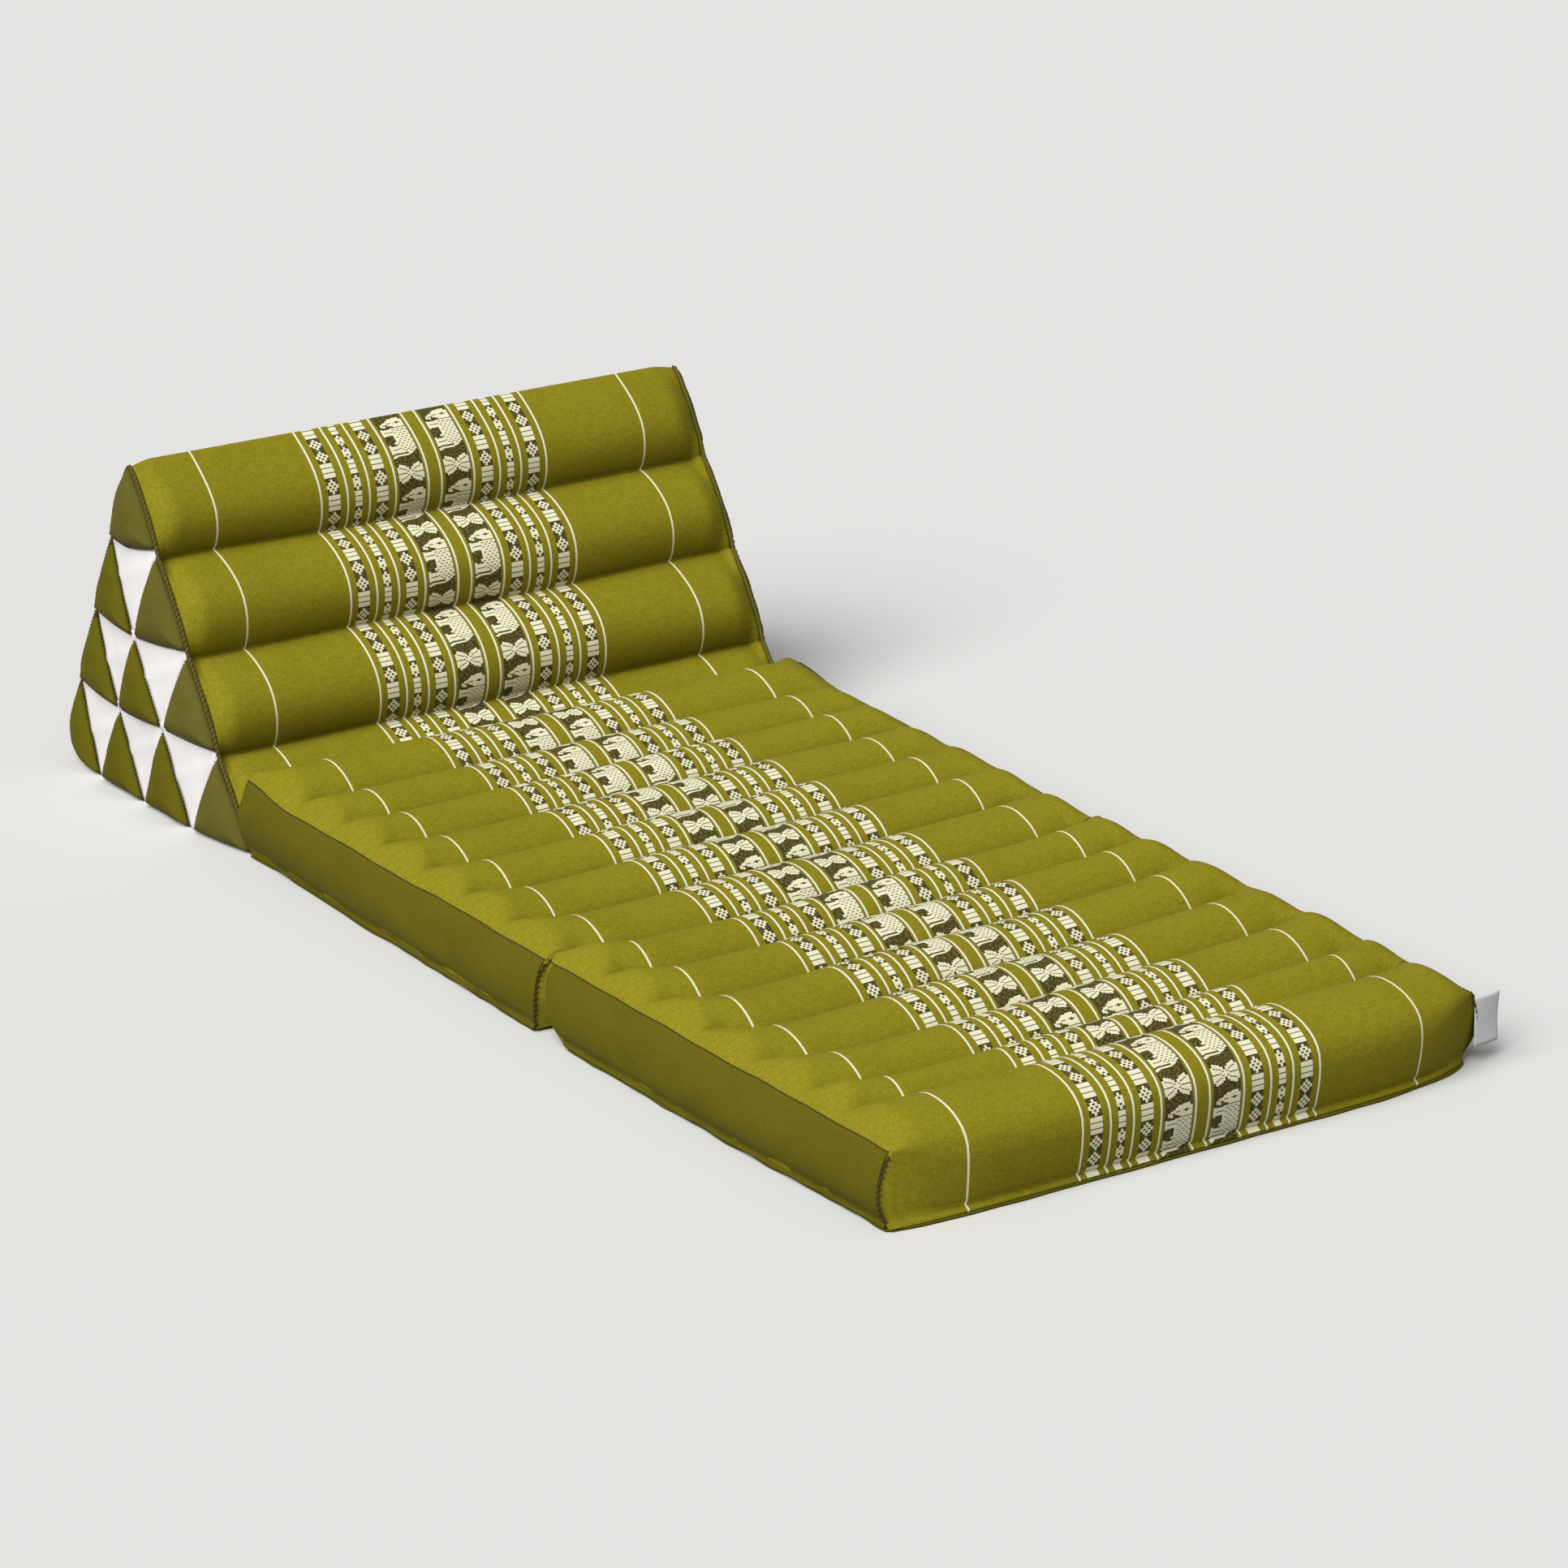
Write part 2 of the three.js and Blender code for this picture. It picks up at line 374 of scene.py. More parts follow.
# The motifs of one repeat, row by row down the cloth; # is the raised cream weft.
ELEPHANT = """
.......###.
.....#####.
.....#####.
....#######
....#######
...########
..######.##
..##..#...#
.#######.##
.#..#######
.##.#######
.##..######
..#...#####
......#####
...........
#...#######
###########
#####.#.#.#
###########
######.#.#.
#....######
###########
#####.#.#.#
###########
###########
#...##.#.#.
....#######
....#######
....#.#.#.#
....#######
....#######
....##.#.#.
....#######
....#######
....#.#.#.#
...########
...########
...#.#.#.#.
#...#######
#...#######
#####.#.#.#
###########
###########
####.#.#.#.
#...#######
#####.#.#.#
###########
######.#.#.
##########.
#......##..
.......##..
.#######...
#######....
##.........
#..........
""".split()

# The upper half of the bow, with its middle row; the lower half mirrors it.
BOW_TOP = """
.#.......#.
.##.....##.
.###...###.
####...####
#.###.###.#
##.##.##.##
###.#.#.###
###########
####.#.####
###########
....###....
""".split()
BOW = BOW_TOP + BOW_TOP[-2::-1]

WIDE_DIAMOND = """
..#..
..#..
..#..
.###.
.#.#.
.#.#.
#####
#.#.#
#.#.#
#####
.#.#.
.#.#.
.###.
..#..
..#..
..#..
""".split()

SLIM_DIAMOND = """
.#.
.#.
.#.
###
#.#
#.#
###
###
###
###
#.#
#.#
###
.#.
.#.
.#.
""".split()

REPEAT_ROWS = 90
BOW_ROW = 62
CELL_ROWS = 18
BAR_ROWS = 6
CELLS = ("bars", "diamond", "diamond", "bars", "diamond")
ROWS_PER_STOP = 3
WIDE_BIT = len(ELEPHANT[0])
SLIM_BIT = WIDE_BIT + len(WIDE_DIAMOND[0])
CHART_BITS = SLIM_BIT + len(SLIM_DIAMOND[0])

# Distances from the middle line, in metres: cream lines, and the middles of the motif stripes between them.
LINES = (0.006, 0.036, 0.0598, 0.0796, 0.1033)
ELEPHANT_START = 0.0038
ELEPHANT_GROUND = (0.003, 0.0273)
WIDE_STRIPES = (0.0481, 0.0916)
SLIM_STRIPE = 0.0698
WIDE_GROUND = 0.0054
SLIM_GROUND = 0.0033
BAND_HALF = 0.107


def side_motif(row, diamond):
    """One row of a side stripe: three bars or one diamond in each cell."""
    shifted = row + CELL_ROWS // 2
    cell = CELLS[shifted // CELL_ROWS % len(CELLS)]
    inside = shifted % CELL_ROWS
    width = len(diamond[0])
    if cell == "bars":
        is_bar = inside % BAR_ROWS < BAR_ROWS - 1
        return ("#" if is_bar else ".") * width
    is_diamond = 0 < inside <= len(diamond)
    return diamond[inside - 1] if is_diamond else "." * width


def chart_row(row):
    """One row of all the motifs as a whole number, a bit for each column."""
    middle = "." * WIDE_BIT
    if row < len(ELEPHANT):
        middle = ELEPHANT[row]
    elif 0 <= row - BOW_ROW < len(BOW):
        middle = BOW[row - BOW_ROW]
    cells = middle + side_motif(row, WIDE_DIAMOND) + side_motif(row, SLIM_DIAMOND)
    return sum(1 << column for column, mark in enumerate(cells) if mark == "#")


def woven_motifs(graph, across, along, weave):
    """Masks of the raised cream weft and of the dark ground, from the distance across and along the cloth."""
    stops = []
    for first in range(0, REPEAT_ROWS, ROWS_PER_STOP):
        rows = [chart_row(first + k) / 2 ** CHART_BITS for k in range(ROWS_PER_STOP)]
        stops.append((first / REPEAT_ROWS, rows))
    place = (along / (weave.row * REPEAT_ROWS)).part() * len(stops)
    chart = graph.node(
        "ShaderNodeValToRGB", {"stops": stops}, Fac=(place.whole() + 0.5) / len(stops)
    )
    channels = graph.node("ShaderNodeSeparateColor", Color=graph.output(chart, "Color"))
    first, second, third = [graph.output(channels, name) for name in ("Red", "Green", "Blue")]
    inside = place.part() * ROWS_PER_STOP
    number = first + (second - first) * (inside > 1) + (third - second) * (inside > 2)

    distance = abs(across)
    right = across > 0
    from_line = across + LINES[1] - right * (LINES[0] + LINES[1])
    elephant = from_line - ELEPHANT_START
    is_elephant = (elephant > 0) * (elephant < WIDE_BIT * weave.column) * (distance < LINES[1])
    ground = (from_line > ELEPHANT_GROUND[0]) * (from_line < ELEPHANT_GROUND[1]) * (distance < LINES[1])
    bit = is_elephant * (elephant / weave.column)
    cream = is_elephant
    stripes = [(middle, WIDE_BIT, len(WIDE_DIAMOND[0]), WIDE_GROUND) for middle in WIDE_STRIPES]
    stripes.append((SLIM_STRIPE, SLIM_BIT, len(SLIM_DIAMOND[0]), SLIM_GROUND))
    for middle, first_bit, columns, ground_half in stripes:
        half = columns * weave.column / 2
        offset = distance - middle
        is_stripe = abs(offset) < half
        bit = bit + is_stripe * (first_bit + (offset + half) / weave.column)
        cream = cream + is_stripe
        ground = ground + (abs(offset) < ground_half)
    power = graph.math("POWER", 2.0, 0 - bit.whole())
    chosen = ((number * 2 ** CHART_BITS + 0.5) * power).whole() / 2
    cream = cream * (chosen.part() > 0.25)
    return cream, ground


# The yarn's unevenness, in steps a metre across and along the cloth.
STREAK = (300.0, 1300.0, 1.0)
SLUB = (1300.0, 240.0, 1.0)
COARSE = (120.0, 560.0, 1.0)
UPRIGHT = (560.0, 120.0, 1.0)
BROAD = (14.0, 11.0, 1.0)
FLECK = (380.0, 1350.0, 1.0)
PUCKER = (30.0, 260.0, 1.0)
# The cloth is puckered between these distances from the middle line, towards the side seam.
PUCKER_ZONE = (0.226, 0.246)
# How far the dark warp shows beside a cream line.
LINE_EDGE = 0.0004
# How much painted shade darkens the cloth right in a channel seam.
PAINTED_CREASE_SHADE = 0.4
MATT = 0.1


def cover_cloth(colours, weave):
    """Patterned cotton: u runs across the cloth from its middle line and v along it, both in metres."""
    graph = Graph(bpy.data.materials.new("patterned_cotton"))
    cloth = graph.uv("cloth")
    across, along, _ = graph.split(cloth)
    distance = abs(across)
    cream, ground = woven_motifs(graph, across, along, weave)
    line = 0
    edge = 0
    for middle in LINES:
        line = line + (abs(distance - middle) < weave.line / 2)
        edge = edge + (abs(distance - middle) < weave.line / 2 + LINE_EDGE)
    line = line + (abs(distance - weave.outer_line) < weave.outer_width / 2)

    streak = graph.grain(cloth, STREAK, detail=3.0, roughness=0.65)
    slub = graph.grain(cloth, SLUB)
    coarse = graph.grain(cloth, COARSE, detail=3.0, roughness=0.7)
    upright = graph.grain(cloth, UPRIGHT, detail=3.0, roughness=0.7)
    # The crease map holds how much painted shade falls on the cloth near the channel seams.
    crease, _, _ = graph.split(graph.uv("crease"))
    broad = graph.grain(cloth, BROAD)
    fleck = graph.grain(cloth, FLECK, detail=1.0)
    pucker = graph.grain(cloth, PUCKER) * graph.ramp(distance, *PUCKER_ZONE)

    dark = tinted(colours.cover, 0.62, 0.62, 0.4)
    light = tinted(colours.cover, 1.25, 1.22, 1.5)
    base = graph.blend(dark, light, graph.ramp(streak * 0.55 + slub * 0.45, 0.33, 0.67))
    base = graph.blend(base, opaque(colours.cover), 0.2)
    woven = coarse * 0.6 + upright * 0.4
    base = graph.blend(base, dark, graph.ramp(woven, 0.48, 0.64) * 0.5)
    base = graph.blend(base, light, graph.ramp(0 - woven, -0.48, -0.34) * 0.45)
    base = graph.blend(base, dark, graph.ramp(broad, 0.5, 0.8) * 0.25)
    heather = graph.blend(opaque(colours.ground), opaque(colours.fleck), graph.ramp(fleck, 0.5, 0.66))
    base = graph.blend(base, heather, ground)
    base = graph.blend(base, opaque(colours.ground), edge * 0.6)
    weft = graph.blend(tinted(colours.cream, 0.9), opaque(colours.cream), streak * 1.4)
    base = graph.blend(base, weft, graph.math("MAXIMUM", cream, line))
    # Painted shade: the cloth darkens towards the channel seams.
    base = graph.blend(base, tinted(colours.cover, 0.2), crease * PAINTED_CREASE_SHADE)
    height = streak * 0.35 + slub * 0.35 + cream * 0.8 + line * 0.5 + pucker * 3.0
    return graph.finish(
        base, graph.ramp(streak, 0.2, 0.9) * 0.15 + 0.75, height, strength=0.4, distance=0.0004,
        Specular_IOR_Level=MATT,
    )


def plain_cloth(name, rgb, tint):
    """Plain heathered cotton, whose yarn runs from the tinted colour to one as much lighter."""
    graph = Graph(bpy.data.materials.new(name))
    fine = graph.even_grain(900.0, roughness=0.6)
    broad = graph.even_grain(16.0, detail=3.0)
    dark = tinted(rgb, *tint)
    light = tinted(rgb, *[2 - k for k in tint])
    base = graph.blend(dark, light, graph.ramp(fine, 0.3, 0.7))
    base = graph.blend(base, opaque(rgb), 0.3)
    base = graph.blend(base, dark, graph.ramp(broad, 0.45, 0.8) * 0.4)
    return graph.finish(
        base, fine * 0.2 + 0.75, fine, strength=0.3, distance=0.0004, Specular_IOR_Level=MATT
    )


def white_cloth(colours):
    graph = Graph(bpy.data.materials.new("white_cotton"))
    fine = graph.even_grain(1200.0, detail=1.0)
    broad = graph.even_grain(22.0)
    warm = tinted(colours.white, 0.93, 0.90, 0.89)
    base = graph.blend(opaque(colours.white), warm, graph.ramp(broad, 0.35, 0.8))
    return graph.finish(
        base, fine * 0.1 + 0.75, fine, strength=0.15, distance=0.0002, Specular_IOR_Level=0.2
    )


def thread_cloth(colours):
    graph = Graph(bpy.data.materials.new("sewing_thread"))
    twist = graph.even_grain(2500.0, detail=1.0)
    base = graph.blend(opaque(colours.thread), tinted(colours.thread, 2.6), graph.ramp(twist, 0.4, 0.8))
    return graph.finish(
        base, twist * 0.2 + 0.55, twist, strength=0.3, distance=0.0002, Specular_IOR_Level=0.3
    )


def satin(colours):
    graph = Graph(bpy.data.materials.new("satin_ribbon"))
    rib = graph.grain(graph.position(), (60.0, 2500.0, 2500.0), detail=1.0)
    base = graph.blend(tinted(colours.ribbon, 0.9), opaque(colours.ribbon), graph.ramp(rib, 0.3, 0.7))
    return graph.finish(base, rib * 0.2 + 0.3, rib, strength=0.15, distance=0.0001)


# ---------- mesh helpers ----------

# How much closer together the cells are at the sides, and how many steps measure the cloth of a channel.
CROWDING = 0.4
RUN_STEPS = 24
# Faces count as square to an axis from this share of their normal on.
SQUARE = 0.9
# The strips of the bake map: where they start, and how wide and long they are.
BAND_STRIPS = (0.003, 0.303)
BAND_STRIP = 0.29
BAND_RUN = (0.003, 0.997)
SIDE_STRIPS = (0.61, 0.805)
SIDE_STRIP = 0.185
SIDE_RUNS = ((0.003, 0.463), (0.47, 0.93))
HIDDEN_STRIPS = ((0.61, 0.64), (0.645, 0.675), (0.68, 0.99))
HIDDEN_RUN = (0.95, 0.99)


def cells(shape):
    """A cube from -1 to 1 on each axis, cut into this many cells along x, y and z."""
    bm = bmesh.new()
    bmesh.ops.create_cube(bm, size=2)
    for axis, count in enumerate(shape):
        if count > 1:
            along = [e for e in bm.edges if abs(e.verts[0].co[axis] - e.verts[1].co[axis]) > TINY]
            bmesh.ops.subdivide_edges(bm, edges=along, cuts=count - 1)
    return bm


def add_uv(bm, name, place):
    """Adds a UV map: place(face, point) gives the coordinates of a corner from the mesh as it is now."""
    layer = bm.loops.layers.uv.new(name)
    for face in bm.faces:
        for loop in face.loops:
            loop[layer].uv = place(face, loop.vert.co)


def local(x, y, z):
    """A point given from the middle of the backrest's front edge, in the frame."""
    return Vector((MIDDLE_X + x, FRONT_Y + y, z))


def reshape(bm, place):
    """Moves every vertex to place(x, y, z), given from the middle of the backrest's front edge."""
    for vert in bm.verts:
        vert.co = local(*place(*vert.co))


def islands(bm):
    """The groups of joined faces of a mesh."""
    left = set(bm.faces)
    while left:
        reached = [left.pop()]
        for face in reached:
            for edge in face.edges:
                for other in edge.link_faces:
                    if other in left:
                        left.remove(other)
                        reached.append(other)
        yield reached


def turn_outwards(bm):
    """Makes the faces of every closed shell of a mesh point outwards."""
    bmesh.ops.recalc_face_normals(bm, faces=bm.faces)
    bm.normal_update()
    for faces in islands(bm):
        volume = sum(face.calc_center_median().dot(face.normal) * face.calc_area() for face in faces)
        if volume < 0:
            bmesh.ops.reverse_faces(bm, faces=faces)


def sort_faces(bm):
    """Puts the faces in the same order on each run, which some operators don't."""
    bm.verts.index_update()
    count = len(bm.verts)
    bm.faces.sort(key=lambda face: face.verts[0].index * count + face.verts[1].index)


def make_piece(name, bm, material, node):
    """Turns a mesh into a piece that stands for a CAD node."""
    turn_outwards(bm)
    sort_faces(bm)
    for face in bm.faces:
        face.smooth = True
    mesh = bpy.data.meshes.new(name)
    bm.to_mesh(mesh)
    bm.free()
    mesh.materials.append(material)
    piece = bpy.data.objects.new(name, mesh)
    bpy.context.scene.collection.objects.link(piece)
    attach(piece, "root")
    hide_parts(node)
    return piece


def material(name, build):
    """A material of this scene, built the first time it is needed."""
    return bpy.data.materials.get(name) or build()


def cover_material(context):
    scene = context.scene
    return material("patterned_cotton", lambda: cover_cloth(scene.mat_colours, scene.mat_weave))


# The boxing's cloth, darkened as painted shade on its upright sides.
def boxing_material(context):
    return material(
        "boxing_cotton",
        lambda: plain_cloth("boxing_cotton", context.scene.mat_colours.plain, (0.72, 0.72, 0.6)),
    )


# The front triangles' cloth, coloured browner as painted sheen of its nap.
def patch_material(context):
    return material(
        "patch_cotton",
        lambda: plain_cloth("patch_cotton", context.scene.mat_colours.patch, (0.75, 0.75, 0.68)),
    )


def thread_material(context):
    return material("sewing_thread", lambda: thread_cloth(context.scene.mat_colours))


def tube(bm, points, radius, resolution):
    """Adds a round thread along the points."""
    curve = bpy.data.curves.new("path", "CURVE")
    curve.dimensions = "3D"
    curve.bevel_depth = radius
    curve.bevel_resolution = resolution
    curve.use_fill_caps = True
    line = curve.splines.new("POLY")
    line.points.add(len(points) - 1)
    for target, point in zip(line.points, points):
        target.co = (*point, 1.0)
    carrier = bpy.data.objects.new("path", curve)
    made = bpy.data.meshes.new_from_object(carrier)
    bm.from_mesh(made)
    bpy.data.objects.remove(carrier)
    bpy.data.curves.remove(curve)
    bpy.data.meshes.remove(made)


def absorb(bm, part):
    """Adds a mesh to another one, and frees it."""
    carrier = bpy.data.meshes.new("part")
    part.to_mesh(carrier)
    part.free()
    bm.from_mesh(carrier)
    bpy.data.meshes.remove(carrier)


def stitch(bm, middle, direction, outward, reach, thickness):
    """Adds one short thread that lies along direction on a cloth that faces outward."""
    side = direction.cross(outward).normalized()
    up = side.cross(direction).normalized()
    turn = Matrix((direction.normalized() * reach / 2, side * thickness, up * thickness)).transposed()
    made = stitch_shape().copy()
    made.transform(Matrix.Translation(middle) @ turn.to_4x4())
    bm.from_mesh(made)
    bpy.data.meshes.remove(made)


def stitch_shape():
    """A thread of unit length along x, made once."""
    shape = bpy.data.meshes.get("stitch_shape")
    if shape:
        return shape
    bm = bmesh.new()
    bmesh.ops.create_uvsphere(
        bm, u_segments=6, v_segments=5, radius=1, matrix=Matrix.Rotation(math.pi / 2, 4, "Y")
    )
    shape = bpy.data.meshes.new("stitch_shape")
    bm.to_mesh(shape)
    bm.free()
    return shape


def spaced(points, pitch):
    """Points a pitch apart along a line of points, each with its direction."""
    made = []
    carried = pitch / 2
    for start, end in zip(points, points[1:]):
        step = end - start
        span = step.length
        if not span:
            continue
        while carried <= span:
            made.append((start + step * (carried / span), step / span))
            carried += pitch
        carried -= span
    return made


def path(place, steps):
    """The points place(share) at even steps of a share from 0 to 1."""
    return [place(k / steps) for k in range(steps + 1)]


def running_length(points):
    """The length of a line up to each of its points."""
    run = [0.0]
    for start, end in zip(points, points[1:]):
        run.append(run[-1] + (end - start).length)
    return run


def at_share(table, share):
    """The value at a share of a table of even steps."""
    place = min(max(share, 0.0), 1.0) * (len(table) - 1)
    low = min(int(place), len(table) - 2)
    return lerp(table[low], table[low + 1], place - low)


def roll_of(share, rolls):
    """The channel and the place in it of a share of all the channels."""
    place = min(share, 1.0) * rolls
    roll = min(rolls - 1, int(place + TINY))
    return roll, min(1.0, max(0.0, place - roll))


def across_at(sizes, x):
    """The distance from the middle line of a place from -1 to 1: cells are closer together at the sides."""
    return sizes.half_width * lerp(x, math.sin(x * math.pi / 2), CROWDING)


class Stitching(NamedTuple):
    """A row of stitches: its pitch, and the size, slant and height above the line of each stitch."""

    pitch: float
    reach: float
    thickness: float
    slant: float = 0.9
    lift: float = 0.0

    def sew(self, bm, line, outward_at):
        """Sews along a line of points, on cloth that faces outward_at(point)."""
        for point, along in spaced(line, self.pitch):
            outward = outward_at(point)
            lean = (along.cross(outward) + along * self.slant).normalized()
            stitch(bm, point + outward * self.lift, lean, outward, self.reach, self.thickness)


def strip_place(sizes, across, here, second, band_along, side_along):
    """A place in the bake map: the band fills two wide strips, and the plain sides two narrow ones."""
    if abs(across) < BAND_HALF:
        share = (here + BAND_HALF) / (2 * BAND_HALF)
        return BAND_STRIPS[second] + BAND_STRIP * share, lerp(*BAND_RUN, band_along)
    inner = (sizes.half_width - abs(here)) / (sizes.half_width - BAND_HALF)
    return SIDE_STRIPS[across > 0] + SIDE_STRIP * (inner if across < 0 else 1 - inner), side_along


def hidden_place(part, across, up):
    """A place in the bake map of the near end, the far end or the underside, which hardly show."""
    return lerp(*HIDDEN_STRIPS[part], across), lerp(*HIDDEN_RUN, up)


# ---------- backrest ----------

WEDGE_ROLL_CELLS = 16
WEDGE_ACROSS = 120
END_FULLNESS = 0.22
# The cover's hidden ends lie this far inside the patchwork.
CAP_RADIUS = 0.85
CAP_DEPTH = 0.009
# The far end stands out a little more than its solid.
FAR_REACH = 0.005
# How far the floor's corners of an end are pulled in, and over what width.
FRONT_PULL = (0.003, 0.03)
BACK_PULL = (0.010, 0.026)
# The stretch towards the pulled ends rises with this power of the distance from the middle.
END_STRETCH = 8
# How square the section of a channel is, and how much it sags towards its lower seam.
CHANNEL_SQUARENESS = 0.64
CHANNEL_SAG = 1.25
# Under the backrest the cloth is hollow at the channel seams, but not at its edges.
FLOOR_HOLLOW = 0.003
FLOOR_EDGE_SLOPE = 4
# The top edge rounds down over this share of a channel, and the channel seams start this far from an end.
RIDGE_ROUNDING = 0.22
SEAM_START = 0.006
# How far the repeat has run at the lower end of each front channel, and the cloth taken up by a seam.
WEDGE_PHASES = (0.026, 0.065, 0.030, 0.0635)
WEDGE_TUCK = 0.010
# The painted shade on the underside of a channel fades out going up from its lower seam, at this rate.
WEDGE_SHADE_SLOPE = 2.6

WEDGE_SWELL = Ripple(0.0016, 9, 0.7, 1)
WEDGE_GATHER = Ripple(0.00035, 120, 1.5, 5)
WEDGE_SWAY = Ripple(0.0014, 7, 1, 9)
SWAY_MARGIN = 0.01
# The puckers beside an end seam: their height, how many there are in a channel, their drift and their reach.
WEDGE_PUCKER = 0.0007
WEDGE_PUCKERS = 2.6
WEDGE_PUCKER_DRIFT = Ripple(2.2, 2.3, 1)
WEDGE_PUCKER_REACH = (0.002, 0.026)


def wedge_sides(sizes):
    """The triangle of the end seams, as its floor, back and front sides in turn."""
    front = Vector((0.0, 0.0))
    back = Vector((sizes.base, 0.0))
    top = Vector((sizes.top_edge, sizes.height))
    return ((front, back), (back, top), (top, front))


def side_turn(sizes, side):
    """The way along a side of the section, and the way out of it."""
    start, end = wedge_sides(sizes)[side]
    along = (end - start).normalized()
    return along, Vector((along.y, -along.x))


def channel_arch(place, side):
    """How far a channel stands out, from 0 at its seams to 1: it sags a little towards its lower seam."""
    share = place % 1
    if side == 1:
        share = 1 - (1 - share) ** CHANNEL_SAG
    elif side == 2:
        share = share ** CHANNEL_SAG
    return max(0.0, arc(share)) ** CHANNEL_SQUARENESS


def wedge_point(sizes, side, along, full, crease=1.0):
    """A point of the section on one side, at a share of its length.

    The channels go from 0 (flat) to 1 (full), and so do the creases between them.
    """
    start, end = wedge_sides(sizes)[side]
    point = start.lerp(end, along)
    arch = channel_arch(along * sizes.rolls, side)
    from_edge = sizes.rolls * min(along, 1 - along)
    if side == 0:
        hollow = FLOOR_HOLLOW * full * max(0.0, 1 - 2 * arch)
        return Vector((point.x, hollow * min(1.0, from_edge * FLOOR_EDGE_SLOPE)))
    from_top = (1 - along if side == 1 else along) * sizes.rolls
    seam = sizes.seam_depth * min(1.0, from_edge) * crease * (1 - arch)
    drop = sizes.ridge_drop * (1 - full) * max(0.0, 1 - from_top / RIDGE_ROUNDING) ** 2
    outward = side_turn(sizes, side)[1]
    return point + outward * (sizes.roll_rise * full * arch - seam) - Vector((0.0, drop))


def end_reach(sizes, point, direction):
    """How far from the middle an end seam lies: the floor's corners are pulled in."""
    reach = sizes.half_width + (FAR_REACH if direction > 0 else 0.0)
    for corner, (depth, width) in zip(wedge_sides(sizes)[0], (FRONT_PULL, BACK_PULL)):
        reach -= depth * bell((point - corner).length, width)
    return reach


def closer(share, rolls):
    """A share of a side whose cells lie closer together at the channel seams."""
    roll, inside = roll_of(share, rolls)
    return (roll + lerp(inside, eased(inside), 0.9)) / rolls


def wedge_run(sizes, side):
    """Length of cloth from the start of a side, at even shares of it."""
    return running_length(path(lambda share: wedge_point(sizes, side, share, 1.0), sizes.rolls * RUN_STEPS))


def wedge_ripples(sizes, side, along, across, inset, full):
    """How far the filling and the stitches move a point of a slanting side off its even place."""
    direction, outward = side_turn(sizes, side)
    roll = along * sizes.rolls
    arch = arc(roll % 1)
    lift = 0.0
    sway = 0.0
    if along not in (0, 1):
        turn = roll * math.tau * WEDGE_PUCKERS + WEDGE_PUCKER_DRIFT.at(roll, 0, side)
        flat = 1 - smooth(inset, *WEDGE_PUCKER_REACH)
        lift = WEDGE_SWELL.at(across, roll, side) * arch * full + WEDGE_PUCKER * math.sin(turn) * flat * arch
        lift += WEDGE_GATHER.at(across, roll) * (1 - arch) ** 2 * full
    if SWAY_MARGIN < along < 1 - SWAY_MARGIN:
        sway = WEDGE_SWAY.at(across, round(roll)) * (1 - arch) * full
    return outward * lift + direction * sway


